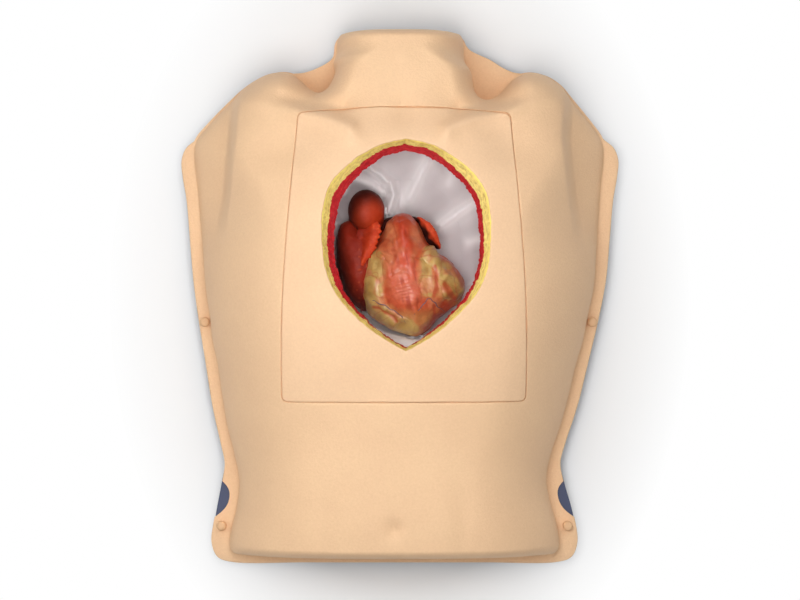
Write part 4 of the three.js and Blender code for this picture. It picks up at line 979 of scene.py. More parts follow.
def screw(name, length, x, y, z, turn_over=False):
    """Screw with a domed cross-recess head. Its head's underside is at z, its shank above."""
    r, h, s = SCREW_HEAD_RADIUS, SCREW_HEAD_HEIGHT, SCREW_RADIUS
    profile = [[0, -h], [r * 0.35, -h * 0.98], [r * 0.65, -h * 0.88], [r * 0.86, -h * 0.66],
               [r * 0.97, -h * 0.36], [r, -0.25], [r * 0.97, 0], [s, 0.1]]
    for k in range(int((length - 3) / THREAD_PITCH)):
        z0 = 1.0 + k * THREAD_PITCH
        profile += [[s - THREAD_DEPTH, z0], [s - THREAD_DEPTH, z0 + 0.3], [s, z0 + 0.62], [s, z0 + 0.78]]
    profile += [[s - 0.3, length - 1.6], [0, length]]
    piece = turned(name + "_turned", profile, 32)
    for wide, deep in ((CROSS_LENGTH, CROSS_WIDTH), (CROSS_WIDTH, CROSS_LENGTH)):
        plan = np.array([[-wide, -deep], [wide, -deep], [wide, deep], [-wide, deep]])
        combine(piece, [prism("slot", plan, -h - 1.0, -h + 1.2, 0, 0)], "DIFFERENCE")
    if turn_over:
        piece.data.transform(Matrix.Rotation(math.pi, 4, "X"))
    return finish_piece(shade_by_angle(place(piece, x, y, z), 40), "base", "screw_steel", STEEL, name)


def feet():
    wide, narrow = FOOT_TOP_RADIUS, FOOT_RADIUS
    profile = [[SCREW_POCKET + 0.4, 0], [narrow - 1.5, 0], [narrow - 0.5, 0.4], [narrow, 1.4],
               [wide - 0.1, FOOT_HEIGHT - 0.5], [wide - 0.5, FOOT_HEIGHT], [SCREW_BORE, FOOT_HEIGHT],
               [SCREW_BORE, FOOT_RECESS_DEPTH], [SCREW_POCKET, FOOT_RECESS_DEPTH], [SCREW_POCKET, 0.4]]
    for corner, (x, y) in zip(CORNERS, FOOT_PLACES):
        foot = place(turned("rubber_foot_" + corner, profile), x, y)
        finish_piece(shade_by_angle(foot), "base", "foot_rubber", FOOT_RUBBER, "foot_" + corner)
        screw("foot_screw_" + corner, SCREW_LENGTH - 2, x, y, FOOT_RECESS_DEPTH - SEAT_GAP)


# Heart tray on its posts
WALL_PROFILE = [[1, 0], [0.985, 0.2], [0.95, 0.45], [0.88, 0.7], [0.77, 0.9], [0.62, 1]]
AROUND = circle(240)


def bowl_ring(share, grow, z):
    return lift(bowl_points(AROUND, share, grow), z)


def tray_lug(x, y, inside):
    """Lug under the tray's wall with a round end over a post, cut off where the bowl begins."""
    half = LUG_WIDTH / 2
    length = TRAY_RIM + POST_REACH + 0.12 * TRAY_HALF_LENGTH
    arc = np.linspace(-math.pi / 2, math.pi / 2, 25)
    plan = np.vstack([[[-length, -half * 1.4]], np.column_stack([half * np.cos(arc), half * np.sin(arc)]),
                      [[-length, half * 1.4]]])
    turn = math.atan2(y - CENTRE[1], x - CENTRE[0])
    spin = np.array([[math.cos(turn), math.sin(turn)], [-math.sin(turn), math.cos(turn)]])
    ring = plan @ spin + [x, y]
    soft = between(ring, np.array([[x, y]]), 0.03)
    lug = lofted("lug", [tip(LUG_UNDER, x, y), lift(soft, LUG_UNDER), lift(ring, LUG_UNDER + 0.5),
                         lift(ring, LUG_TOP - 0.5), lift(soft, LUG_TOP), tip(LUG_TOP, x, y)])
    return combine(lug, [inside], "DIFFERENCE", keep=True)


def heart_tray():
    """Bowl with a rolled rim and four lugs."""
    wall = curve_through(WALL_PROFILE, 24)
    level = TRAY_RIM_TOP - TRAY_DEPTH * wall[:, 1]
    rings = [tip(TRAY_FLOOR)]
    rings += [bowl_ring(share, 0, z) for (share, _), z in zip(wall[::-1], level[::-1])][:-1]
    r = TRAY_RIM
    rim = ((0.3, 0.4), (1, 0.02), (r - 1.2, 0), (r - 0.3, 0.4), (r, 1.3), (r, 5), (r - 0.4, 5.8),
           (r - 1.5, 6), (r - 2.6, 5.8), (r - 3, 5), (r - 3, 4), (r - 3.6, 3.2), (r - 4.4, 3),
           (4, 3.2), (3, 4.2))
    rings += [bowl_ring(1, grow, TRAY_RIM_TOP - drop) for grow, drop in rim]
    rings += [bowl_ring(share, TRAY_WALL, z - TRAY_WALL * drop)
              for (share, drop), z in list(zip(wall, level))[3:]]
    tray = lofted("tray_bowl", rings + [tip(TRAY_FLOOR - TRAY_WALL)])
    inside = lofted("inside", [tip(TRAY_RIM_TOP + 1), bowl_ring(1, 1, TRAY_RIM_TOP + 1),
                               *(bowl_ring(share, 1, z) for (share, _), z in zip(wall, level)),
                               tip(TRAY_FLOOR - 0.5)])
    lugs = [tray_lug(x, y, inside) for x, y in POST_PLACES]
    bpy.data.objects.remove(inside)
    combine(tray, lugs, "UNION")
    combine(tray, [rod(x, y, SCREW_BORE, LUG_UNDER - 1, LUG_TOP + 1) for x, y in POST_PLACES],
            "DIFFERENCE")
    finish_piece(shade_by_angle(tray), "base", "tray_plastic", TRAY_GREY, "heart_tray")


def tray_posts():
    bottom, top = BOARD_TOP + SEAT_GAP, LUG_UNDER - SEAT_GAP
    r, collar = POST_RADIUS, POST_RADIUS + 2.5
    profile = [[SCREW_BORE, bottom], [collar - 0.4, bottom], [collar, bottom + 0.4],
               [collar, bottom + 2.7], [collar - 0.4, bottom + 3.2], [r + 0.9, bottom + 4.4],
               [r + 0.2, bottom + 6], [r, bottom + 8], [r, top - 0.5], [r - 0.5, top], [SCREW_BORE, top]]
    for corner, (x, y) in zip(CORNERS, POST_PLACES):
        post = place(turned("tray_post_" + corner, profile), x, y)
        finish_piece(shade_by_angle(post), "base", "tray_plastic", TRAY_GREY, "post_" + corner)
        screw("tray_screw_" + corner, SCREW_LENGTH, x, y, LUG_TOP + SEAT_GAP, turn_over=True)
        screw("post_screw_" + corner, BOARD_TOP - BOARD_BOTTOM + SCREW_LENGTH - SCREW_HEAD_HEIGHT, x, y,
              BOARD_BOTTOM + SCREW_HEAD_HEIGHT)


# Heart: plan places are about the incision's centre, heights from the heart's underside
VENTRICLES = {
    "outline": [[-9, 29.6], [-17.5, 21.5], [-23.5, 10], [-32, -4.5], [-38, -17], [-40.4, -31],
                [-40.6, -44], [-38.4, -54.4], [-31.6, -66], [-19, -75.6], [-3.2, -82.2],
                [10.6, -85.6], [20.1, -80.9], [31.1, -69.9], [44, -58.9], [53, -51], [56.4, -41],
                [52.4, -28.5], [44.4, -16.5], [34.6, -8], [25.8, -1], [19, 6.5], [15, 15.5],
                [9, 25], [0, 30.8]],
    "centre": (4.6, -27.4), "middle": 28.4, "top": 62.4, "bottom": 0,
}
RIGHT_ATRIUM = {
    "outline": [[-54, 24.4], [-61, 20.8], [-65.5, 12], [-66.4, 0], [-65.6, -17], [-61.4, -35],
                [-54.2, -49.4], [-46.5, -58.6], [-38.4, -62.4], [-31.4, -53.4], [-27.4, -31.4],
                [-25.4, -3.4], [-33.4, 16.6], [-43, 22.6]],
    "centre": (-46.4, -17.4), "middle": 23.4, "top": 45.4, "bottom": 5.4,
}
LEFT_ATRIUM = {
    "outline": [[-23.4, 12.6], [-26.4, 21.6], [-17.4, 27.6], [-3.4, 29.6], [9.6, 28],
                [18.6, 21.6], [23.6, 13.1], [22.6, 5.6], [0.6, 1.6]],
    "centre": (-1.4, 15.6), "middle": 10, "top": 20.4, "bottom": 1.4,
}
TRACT = [(-6.4, 22.6), (-3.4, -1.4), (0.6, -29.4), (3.6, -57.4)]
GROOVE_LEFT = [(-21.4, 10.6), (-24.4, -21.4), (-19.4, -55.4), (-3.4, -71.4)]
GROOVE_RIGHT = [(8.6, 10.6), (18.6, -15.4), (20.6, -43.4), (10.6, -69.4)]

# Fat on the ventricles: node, middle line, half width and thickness
FAT_BANDS = [
    ("heart_fat_right", [(-28, -9), (-29.5, -20), (-31, -33), (-32.5, -46), (-31, -57)], 10, 3.0),
    ("heart_fat_left", [(22, -6), (26, -13), (33, -20), (41, -29), (45, -42)], 10.5, 3.4),
    (None, [(19, -14), (20, -27), (22, -40)], 7, 0),
    ("heart_fat_lower", [(-31.5, -60), (-21, -65.5), (-9, -72.5), (5, -78)], 8.5, 2.4),
]
VEIN_RADIUS = 0.55
VEIN_RISE = 0.6
VEINS_LEFT = [[(7.7, -65.3), (10.2, -61.6), (12.9, -60), (15.2, -56.2), (18.6, -53.8), (20.4, -50.4),
               (22.8, -48.8), (21.9, -44.6)],
              [(22.8, -48.8), (24.6, -51.8), (28.3, -54.3), (29.6, -57.4), (33.4, -59.4), (36.6, -62.6)]]
VEINS_RIGHT = [[(-38.6, -54.6), (-35, -52.8), (-31.4, -52), (-28.2, -52.9), (-23.6, -55.6), (-20, -56.2),
                (-14.5, -60), (-11.2, -60.9), (-8.9, -63.2), (-4.6, -66), (-2, -69.4), (0, -73.6)]]
# Bare muscle between the fat: path and half width
RED_STREAKS = [([(27, -21), (28.6, -28), (29, -38), (26.5, -47)], 1.6),
               ([(36, -36), (41, -44), (46, -50), (40, -56)], 3.2),
               ([(38, -52), (33, -62), (26, -73)], 2.6),
               ([(27, -57), (27.5, -68)], 1.6),
               ([(-29, -57), (-24, -59), (-15, -65), (-8, -70)], 1.6),
               ([(33, -10), (42, -16), (49, -25), (53, -36)], 3.6),
               ([(20, -79), (30, -70), (40, -61)], 3.6)]

# Soft furrows of the muscle
CREASES = [[(-30.5, 1.6), (-20, 6.4), (-12.5, 2.5)],
           [(-35, -10.7), (-24, -6.9), (-14.3, -18.3), (-12.5, -27.8)],
           [(-20, -5), (-10.5, -10.7), (-12.5, -18.3)],
           [(6.6, -10.7), (14.1, -12.6), (17.9, -5)],
           [(-12.5, -27.8), (-4, -23.1), (3.6, -26.8)],
           [(16, -30), (13, -39), (16, -50)]]

# Factors that bring the tones below down to how the cast rubber reflects them
HEART_TONE = [0.79, 0.72, 0.56, 1]
DARK_TONE = [0.72, 0.56, 0.36, 1]
APPENDAGE_TONE = [0.9, 0.76, 0.6, 1]
CHAMBER_ROUNDING = 0.9


def chamber_grid(form, sides, rows, relief=None):
    """Points of a closed form by row and side, from above its middle round to below it."""
    angle = circle(sides)
    centre = np.array(form["centre"])
    hits = ray_hits(curve_through(form["outline"], 600, closed=True), angle, centre)
    reach = np.linalg.norm(hits - centre, axis=1)
    slope = (np.arange(1, rows) * math.pi / rows)[:, None]
    rise = np.cos(slope)
    x = centre[0] + np.cos(angle) * reach * np.sin(slope) ** CHAMBER_ROUNDING
    y = centre[1] + np.sin(angle) * reach * np.sin(slope) ** CHAMBER_ROUNDING
    height = np.where(rise > 0, form["top"] - form["middle"], form["middle"] - form["bottom"])
    z = form["middle"] + height * rise
    if relief:
        z = z + np.clip(rise, 0, None) * relief(x, y)
    return np.stack([x, y, np.broadcast_to(z, x.shape)], axis=2)


def flat_noise(x, y, scale, seed):
    return value_noise(np.column_stack([x.ravel(), y.ravel()]), scale, seed).reshape(x.shape)


def noise3(grid, scale, seed):
    return value_noise(grid.reshape(-1, 3), scale, seed).reshape(grid.shape[:2])


def on_heart(points):
    return np.asarray(points) + [CENTRE[0], CENTRE[1], HEART_BASE]


def closed_grid(name, grid):
    """A body from a grid of rows and sides, closed by a tip at each end."""
    rings = [grid[0].mean(axis=0)[None]] + list(grid) + [grid[-1].mean(axis=0)[None]]
    return lofted(name, [on_heart(ring) for ring in rings])


def blanket(name, top, under):
    """A closed body between two open grids of the same size."""
    rows, columns = top.shape[:2]
    index = np.arange(rows * columns).reshape(rows, columns)

    def quads(a, b, c, d):
        return np.stack([a, b, c, d], axis=-1).reshape(-1, 4)

    low = index + rows * columns
    rim = np.concatenate([index[0], index[1:, -1], index[-1, -2::-1], index[-2:0:-1, 0]])
    after = np.roll(rim, -1)
    faces = np.vstack([
        quads(index[:-1, :-1], index[:-1, 1:], index[1:, 1:], index[1:, :-1]),
        quads(low[:-1, :-1], low[1:, :-1], low[1:, 1:], low[:-1, 1:]),
        quads(rim, rim + rows * columns, after + rows * columns, after),
    ])
    points = np.vstack([top.reshape(-1, 3), under.reshape(-1, 3)])
    return make_mesh(name, on_heart(points), faces.tolist())


def mixed(first, second, share):
    """Blend of two linear colours, or lists of them, by a share for each place."""
    share = np.clip(share, 0, 1)[..., None]
    return np.asarray(first) * (1 - share) + np.asarray(second) * share


def paint(piece, colors):
    """Stores one colour a vertex, for the material to read as its ground tone."""
    layer = piece.data.attributes.new("tint", "FLOAT_COLOR", "POINT")
    layer.data.foreach_set("color", np.asarray(colors, np.float32).ravel())


def heart_body(name, grid, colors, slot, finish, node):
    """Closed body of the heart from a grid, with a colour for each of the grid's points."""
    piece = closed_grid(name, grid)
    flat = colors.reshape(-1, colors.shape[-1])
    paint(piece, np.vstack([flat[:1], flat, flat[-1:]]))
    finish_piece(piece, "heart", slot, finish, node)


def band_width(x, y, width):
    """Half width of a fat band, which wanders and narrows towards the vessels."""
    return width * (1 + 0.25 * flat_noise(x, y, 9, 31)) * (0.5 + 0.5 * smooth(2, -20, y))


def fat_share(x, y):
    """How much the fat covers the ventricles: over 0 in a band, 1 along its middle."""
    cover = np.full(x.shape, -1.5)
    for _, path, width, _ in FAT_BANDS:
        away = distance_to(path, x, y) / band_width(x, y, width)
        cover = np.maximum(cover, 1 - away**2)
    return cover


def fat_rise(x, y, path, width, thickness):
    """Height of one band's lobes over the muscle, and the distance from its middle line."""
    near = distance_to(path, x, y) / band_width(x, y, width)
    lobes = 0.72 + 0.6 * flat_noise(x, y, 9, 67) + 0.35 * flat_noise(x, y, 4.5, 68)
    return thickness * np.clip(1 - near**2, 0, 1) ** 0.7 * lobes, near


def muscle_lines(x, y):
    """Fine wrinkles in arcs over the outflow tract, and faint strands along it."""
    away = np.hypot(x - 2, y + 66) + 1.5 * flat_noise(x, y, 8, 41) + 0.4 * flat_noise(x, y, 3, 43)
    arcs = np.sin(away * 2 * math.pi / 3.4) * bump(x, y, 3, -43, 14, 11)
    strands = flat_noise(x * 2.4 + 0.5 * y, y * 0.55, 5, 42) * ridge(x, y, TRACT, 17)
    return arcs, strands


def ventricle_relief(x, y):
    return (4.5 * ridge(x, y, TRACT, 15) - 2.5 * ridge(x, y, GROOVE_LEFT, 7)
            - 2.5 * ridge(x, y, GROOVE_RIGHT, 7))


# The ventricles without their fine relief, which the fat and the veins lie on
V_GRID = chamber_grid(VENTRICLES, 420, 260, ventricle_relief)
V_NORMAL = outward(V_GRID)


def heart_tint(x, y, fat):
    """Ground tone of the ventricles and their fat: layers of colour, each over the ones before."""
    def noise(scale, seed):
        return flat_noise(x, y, scale, seed)

    soft, fine = noise(9, 51), noise(4, 52)
    arcs, strands = muscle_lines(x, y)
    tone = mixed(srgb(206, 76, 46), srgb(224, 98, 64), smooth(24, -16, y + 4 * soft))
    pale = np.maximum(bump(x, y, -14.5, 12, 7, 15), 0.9 * bump(x, y, 10.5, 9, 6, 13))
    pale = np.maximum(pale, 0.9 * bump(x, y, -18, -12, 11, 9))
    bright = ridge(x, y, [(-5, 22), (-2, 8), (3, -2), (1, -14), (-4, -19)], 5.5 + 2 * soft)
    # Pink patches: the broad one over the wrinkles is the cast's own pink, the smaller one above it is a
    # painted highlight
    pink_and_highlight = np.maximum(bump(x, y, 2.5, -44, 17, 12), 0.8 * bump(x, y, -5, -27, 9, 10))
    bare = ridge(x, y, [(-6, 30), (-3.5, 12), (-1.5, -6)], 15)
    fat = fat - 1.3 * bare
    veiled = smooth(-1.3, 0.1, fat + 0.6 * soft + 0.3 * fine)
    yellow = mixed(srgb(226, 194, 130), srgb(198, 158, 96), 0.5 + 0.8 * noise(7, 55))
    layers = [(srgb(238, 156, 118), pale * (0.9 + 0.4 * fine)),
              (srgb(228, 146, 108), 0.8 * smooth(0.1, 0.7, noise(10, 58)) * smooth(6, -6, y)),
              (srgb(216, 72, 38), 0.85 * bright)]
    layers += [(srgb(196, 84, 56), 0.4 * ridge(x, y, path, 1.1 + 0.5 * fine)) for path in CREASES]
    layers += [(srgb(236, 138, 116), 1.1 * pink_and_highlight * (0.8 + 0.3 * fine)),
               (srgb(222, 86, 74), 0.5 * np.clip(arcs, 0, 1)),
               (srgb(170, 46, 28), 0.8 * np.clip(strands - 0.2, 0, 1)),
               (srgb(222, 152, 100), smooth(-56, -68, y) * (0.85 + 0.3 * noise(6, 53))),
               (srgb(226, 152, 104), 0.8 * veiled),
               (yellow, smooth(-0.4, 0.5, fat + 0.45 * fine + 0.25 * soft)),
               (srgb(232, 150, 116), 0.7 * smooth(0.15, 0.7, noise(8, 64)) * smooth(-0.6, 0.3, fat))]
    for scale, seed, share in ((12, 59, 0.5), (7, 60, 0.4)):
        vessels = smooth(0.09, 0.0, np.abs(noise(scale, seed))) * smooth(-1.6, -0.2, fat)
        layers.append((srgb(204, 94, 68), share * vessels))
    for path, width in RED_STREAKS:
        near = ridge(x, y, path, width * (1.1 + 0.5 * noise(5, 57)))
        layers.append((srgb(204, 78, 54), 0.75 * smooth(0.1, 0.95, near)))
    for color, share in layers:
        tone = mixed(tone, color, share)
    return tone * HEART_TONE


def silicone_finish(name, rough, wet, mottling, gloss):
    """Soft cast rubber, tinted by its vertices and mottled by noise."""
    f = Finish(name, Specular_IOR_Level=gloss, Subsurface_Weight=0.12, Subsurface_Scale=0.004,
               Subsurface_Radius=(1.0, 0.35, 0.2), Coat_Weight=wet, Coat_Roughness=0.28)
    tint = f.stored("tint", "Color")
    dark = f.mix(1.0, tint, srgb(206, 164, 150), "MULTIPLY")
    tone = f.mix(f.ramp(f.noise(6, 4, 0.55, 0.4), (0.36, mottling), (0.6, 0.0)), tint, dark)
    pale = f.mix(1.0, tone, srgb(96, 60, 44), "SCREEN")
    f.color(f.mix(f.ramp(f.noise(3.4, 3, 0.55), (0.55, 0.0), (0.8, mottling)), tone, pale))
    f.rough(f.noise(4.5, 4), rough - 0.06, rough + 0.1)
    return f.relief((f.noise(4.6, 4, 0.5), 0.3), (f.noise(1.2, 3), 0.08))


HEART_SILICONE = silicone_finish("heart_silicone", 0.38, 0.2, 0.3, 0.45)
FAT_SILICONE = silicone_finish("fat_silicone", 0.38, 0.2, 0.25, 0.45)
DARK_SILICONE = silicone_finish("dark_silicone", 0.52, 0.0, 0.25, 0.2)


def heart_ventricles():
    """The muscle with its fine relief: creases, wrinkles, strands and swells under the fat."""
    x, y = V_GRID[..., 0], V_GRID[..., 1]
    front = smooth(10, 34, V_GRID[..., 2])
    arcs, strands = muscle_lines(x, y)
    fat = fat_share(x, y)
    swell = 1.2 * noise3(V_GRID, 14, 61) + 0.9 * noise3(V_GRID, 7, 62) + 0.2 * noise3(V_GRID, 3, 63)
    swell += front * (0.17 * arcs - 0.3 * np.clip(strands, 0, 1))
    for path, width in RED_STREAKS:
        swell -= front * 0.3 * ridge(x, y, path, width)
    for path in CREASES:
        swell += front * (0.5 * ridge(x, y, path, 5) - 0.85 * ridge(x, y, path, 1.6))
    swell += front * 0.7 * smooth(-1, 0.3, fat)
    grid = V_GRID + V_NORMAL * swell[..., None]
    grid[..., 2] = np.maximum(grid[..., 2], 0)
    tone = mixed(srgb(170, 60, 40), heart_tint(x, y, fat), front)
    heart_body("heart_muscle_body", grid, tone, "heart_muscle", HEART_SILICONE, "ventricles")


def fat_patch(node, path, width, thickness):
    """Lumpy fat that lies on the ventricles; its edges dip under their surface."""
    x, y, z = np.moveaxis(V_GRID, 2, 0)
    rise, near = fat_rise(x, y, path, width, thickness)
    used = (near < 1.3) & (z > VENTRICLES["middle"] - 6)
    rows = np.flatnonzero(used.any(axis=1))
    columns = np.flatnonzero(used.any(axis=0))
    gap = np.argmax(np.diff(np.concatenate([columns, [columns[0] + used.shape[1]]])))
    columns = np.roll(columns, -gap - 1)
    picked = np.ix_(np.arange(rows[0], rows[-1] + 1), columns)
    grid, normal, near, rise = V_GRID[picked], V_NORMAL[picked], near[picked], rise[picked]
    px, py = grid[..., 0], grid[..., 1]
    rise = rise + 0.35 - 1.6 * smooth(0.82, 1.15, near)
    rise = np.where(grid[..., 2] < VENTRICLES["middle"] - 4, -1.4, rise)
    for streak, wide in RED_STREAKS:
        rise -= 0.7 * ridge(px, py, streak, wide) * (rise > 0)
    piece = blanket(node.replace("heart_", "lumpy_"), grid + normal * rise[..., None],
                    grid - normal * 3.2)
    tint = heart_tint(px, py, fat_share(px, py))
    paint(piece, np.vstack([tint.reshape(-1, 4)] * 2))
    finish_piece(piece, "heart", "heart_fat", FAT_SILICONE, node)


def surface_at(x, y):
    """Height of the ventricles' front over plan points, by the nearest grid point."""
    front = V_GRID[: V_GRID.shape[0] // 2 + 8]
    flat = front.reshape(-1, 3)
    return np.array([flat[np.argmin((flat[:, 0] - a) ** 2 + (flat[:, 1] - b) ** 2), 2]
                     for a, b in zip(x, y)])


def tube(path, radii, sides=14):
    """Rings of a tube along a path, closed to a point at both ends."""
    path = np.asarray(path)
    tangent = unit(np.gradient(path, axis=0))
    side = unit(np.cross(tangent, [0, 0, 1]))
    up = np.cross(side, tangent)
    angle = circle(sides)
    rings = [path[:1]]
    for at, across, above, r in zip(path[1:-1], side[1:-1], up[1:-1], radii[1:-1]):
        rings.append(at + r * (np.cos(angle)[:, None] * across + np.sin(angle)[:, None] * above))
    return rings + [path[-1:]]


def vein(name, node, paths):
    """Tapering winding tubes that lie half sunk in the fat and the muscle."""
    pieces = []
    for k, knots in enumerate(paths):
        line = curve_through(knots, 90)
        line = line + 0.4 * np.column_stack([value_noise(line, 4, 71 + k), value_noise(line, 4, 81 + k)])
        fat = np.max([fat_rise(*line.T, *band[1:])[0] for band in FAT_BANDS], axis=0)
        height = surface_at(*line.T) + fat
        height = np.convolve(np.pad(height, 4, mode="edge"), np.ones(9) / 9, mode="valid")
        t = np.linspace(0, 1, len(line))
        radii = VEIN_RADIUS * (1 - 0.45 * t) * np.sin(math.pi * np.clip(t * 0.96 + 0.02, 0, 1)) ** 0.3
        radii = radii * (1 + 0.25 * value_noise(line, 3, 84 + k))
        pieces.append(lofted(name, [on_heart(ring) for ring in
                                    tube(np.column_stack([line, height + VEIN_RISE]), radii)]))
    piece = combine(pieces[0], pieces[1:], "UNION") if len(pieces) > 1 else pieces[0]
    finish_piece(shade_by_angle(piece, 80), "heart", "heart_vein", VEIN_INK, node)


def right_atrium():
    def relief(x, y):
        return -6 * bump(x, y, -47.5, 16, 7, 6) + 2 * bump(x, y, -41, -3, 14, 26)

    grid = chamber_grid(RIGHT_ATRIUM, 240, 150, relief)
    x, y = grid[..., 0], grid[..., 1]
    swell = 1.1 * noise3(grid, 14, 91) + 0.4 * noise3(grid, 4.5, 92)
    swell += 0.5 * smooth(-52, -40, x) * np.clip(noise3(grid, 2.4, 88), 0, 1)
    # Painted shade and light: the chamber darkens towards its left side and its bottom and lightens
    # towards its right side
    lit = smooth(-64, -44, x + 0.25 * (y + 20)) + 0.2 * noise3(grid, 8, 93)
    tone = mixed(srgb(84, 26, 20), srgb(168, 50, 30), lit)
    tone = mixed(tone, srgb(98, 28, 20), smooth(-30, -56, y))
    # Painted glints: orange spots on the tops of the bumps at the right side
    glint_specks = smooth(0.25, 0.7, noise3(grid, 2.4, 88)) * smooth(-52, -40, x)
    tone = mixed(tone, srgb(226, 104, 64), 0.6 * glint_specks)
    heart_body("right_atrium_body", grid + outward(grid) * swell[..., None], tone * DARK_TONE,
               "heart_dark", DARK_SILICONE, "right_atrium")


def left_atrium():
    grid = chamber_grid(LEFT_ATRIUM, 200, 110)
    swell = 0.6 * noise3(grid, 11, 95) + 0.25 * noise3(grid, 4.5, 96)
    tone = mixed(srgb(60, 20, 16), srgb(84, 28, 22), 0.5 + 0.5 * noise3(grid, 9, 97))
    heart_body("left_atrium_body", grid + outward(grid) * swell[..., None], tone,
               "heart_dark", DARK_SILICONE, "left_atrium")


def aorta_stump():
    """Closed round-ended stump that leans towards the head."""
    radius, length, lean = 17.2, 38, -0.28
    angle = circle(160)
    dome = np.linspace(0, math.pi / 2, 40)[1:]
    profile = [(radius * 0.5, 0.0), (radius * 0.9, 0.0), (radius * 0.97, 2.0)]
    rim = length - radius * 0.95
    profile += [(radius, z) for z in np.linspace(5, rim, 16)]
    profile += [(radius * math.cos(a), rim + radius * 0.95 * math.sin(a)) for a in dome[:-1]]
    grid = np.array([[[r * math.cos(a), r * 1.16 * math.sin(a), z] for a in angle]
                     for r, z in profile])[::-1]
    grid = grid + outward(grid) * (0.3 * noise3(grid, 10, 98) + 0.08 * noise3(grid, 3, 99))[..., None]
    y, z = grid[..., 1].copy(), grid[..., 2].copy()
    grid[..., 1] = y * math.cos(lean) - z * math.sin(lean)
    grid[..., 2] = y * math.sin(lean) + z * math.cos(lean)
    grid += [-37.6, 28.0, 13]
    # Painted light and shade: bright orange towards the dome's right side, dark red away from it
    away = np.hypot(grid[..., 0] + 30, grid[..., 1] - 27)
    tone = mixed(srgb(204, 72, 38), srgb(88, 28, 20), smooth(5, 25, away + 2 * noise3(grid, 9, 94)))
    heart_body("aorta_dome", grid, tone * DARK_TONE, "heart_dark", DARK_SILICONE, "aorta_stump")


def flap_grid(knots, widths, thickness, ragged, seed):
    """Flattened oval along a path, its right edge ragged and its left one smooth."""
    steps, sides = 150, 72
    line = curve_through(knots, steps)
    across = unit(-np.cross(unit(np.gradient(line, axis=0)), [0, 0, 1]))
    t = np.linspace(0, 1, steps + 1)
    taper = np.sin(math.pi * np.clip(t, 0.004, 0.996)) ** 0.42
    angle = circle(sides)
    edge = np.clip(np.cos(angle), 0, 1) ** 2
    run = t[:, None] * 90
    teeth = value_noise(run, 4.2, seed) + 0.7 * value_noise(run, 1.7, seed + 1)
    half = (along(widths, t) / 2 * taper)[:, None] * (1 + ragged * edge * teeth[:, None])
    grid = (line[:, None] + across[:, None] * (np.cos(angle) * half)[..., None]
            + np.array([0, 0, 1.0]) * (np.sin(angle) * thickness / 2 * taper[:, None])[..., None])
    return grid, np.broadcast_to(np.cos(angle), grid.shape[:2])


def appendage(name, node, knots, widths, thickness, ragged, curl, seed, shaded_lit_glint_tones, turn):
    """A curled flap; curl lowers the inner half, and its colour runs from a painted shade on that side to
    painted light at the free edge, with painted glints near that edge.
    """
    grid, across = flap_grid(knots, widths, thickness, ragged, seed)
    middle = len(grid) // 2
    normal = outward(grid)
    if np.mean(normal[middle, :, 2] * (grid[middle, :, 2] - grid[middle, :, 2].mean())) < 0:
        normal = -normal
    lumps = 0.55 * noise3(grid, 4.5, seed + 2) + 0.35 * noise3(grid, 2.1, seed + 3)
    grid = grid + normal * lumps[..., None]
    grid[..., 2] -= curl * smooth(0.5, -0.6, across)
    share = smooth(*turn, across + 0.35 * noise3(grid, 5, seed + 4))
    tone = mixed(shaded_lit_glint_tones[0], shaded_lit_glint_tones[1], share)
    # Painted glints: bright orange spots towards the free edge
    glint_specks = smooth(0.2, 0.9, noise3(grid, 2.6, seed + 5)) * smooth(0.1, 0.8, across)
    tone = mixed(tone, shaded_lit_glint_tones[2], glint_specks)
    heart_body(name, grid, tone * APPENDAGE_TONE, "heart_bright", DARK_SILICONE, node)


def appendages():
    # Three colours of each flap: painted shade on its inner side, painted light at its free edge, and its
    # painted glints
    appendage("right_appendage_flap", "right_atrial_appendage",
              [[-35.6, 30, 37.5], [-34.6, 16, 45.6], [-37.6, 2, 46.4], [-42.4, -10, 45.2],
               [-45.6, -21, 43.4], [-46.6, -30, 41.4]],
              [[0, 25], [0.3, 24], [0.6, 18], [1, 11]], 7, 0.12, 6.2, 101,
              (srgb(148, 42, 26), srgb(208, 72, 38), srgb(236, 114, 68)), (-0.7, 0.75))
    appendage("left_appendage_flap", "left_atrial_appendage",
              [[10.6, 27.6, 28.4], [16.6, 19.6, 33], [24.2, 8.6, 33.6], [32.6, -2.6, 28.8]],
              [[0, 11], [0.5, 14], [1, 10]], 9, 0.06, 6.5, 111,
              (srgb(48, 18, 15), srgb(222, 84, 50), srgb(238, 112, 70)), (-0.25, 0.3))


# Cloth that lines the tray: (plan path about the incision's centre, height, half width)
FOLDS = [([(-46, 96), (-38, 82), (-25, 72), (-15, 62), (-11.5, 50), (-17, 34)], 13, 5.4),
         ([(-62, 70), (-48, 66), (-34, 60), (-24, 52)], 7, 4.6),
         ([(32, 108), (23, 88), (13, 68), (3, 46)], 9, 7),
         ([(98, 60), (74, 46), (54, 35), (34, 21)], 9, 6.5),
         ([(80, -30), (68, -40), (52, -58)], 5, 7),
         ([(-60, 98), (-54, 78), (-62, 54)], 7, 5.5),
         ([(-92, 50), (-78, 34), (-70, 24)], 4.5, 7),
         ([(-92, -44), (-78, -48), (-60, -62)], 4.5, 7),
         ([(-36, -112), (-34, -96), (-24, -84)], 4.0, 6),
         ([(30, -112), (28, -98), (22, -88)], 3.6, 6),
         ([(64, 100), (54, 84), (42, 62)], 3.2, 6),
         ([(100, 12), (80, 8), (62, 4)], 4.6, 7),
         ([(-56, -72), (-40, -86), (-22, -97), (2, -104), (30, -99)], 15, 14)]
CLOTH_OFF = 0.1              # from the grid that the folds start from
CLOTH_HEM = 17               # how far the edge hangs under the rim's top
FOLD_POWER = 1.7


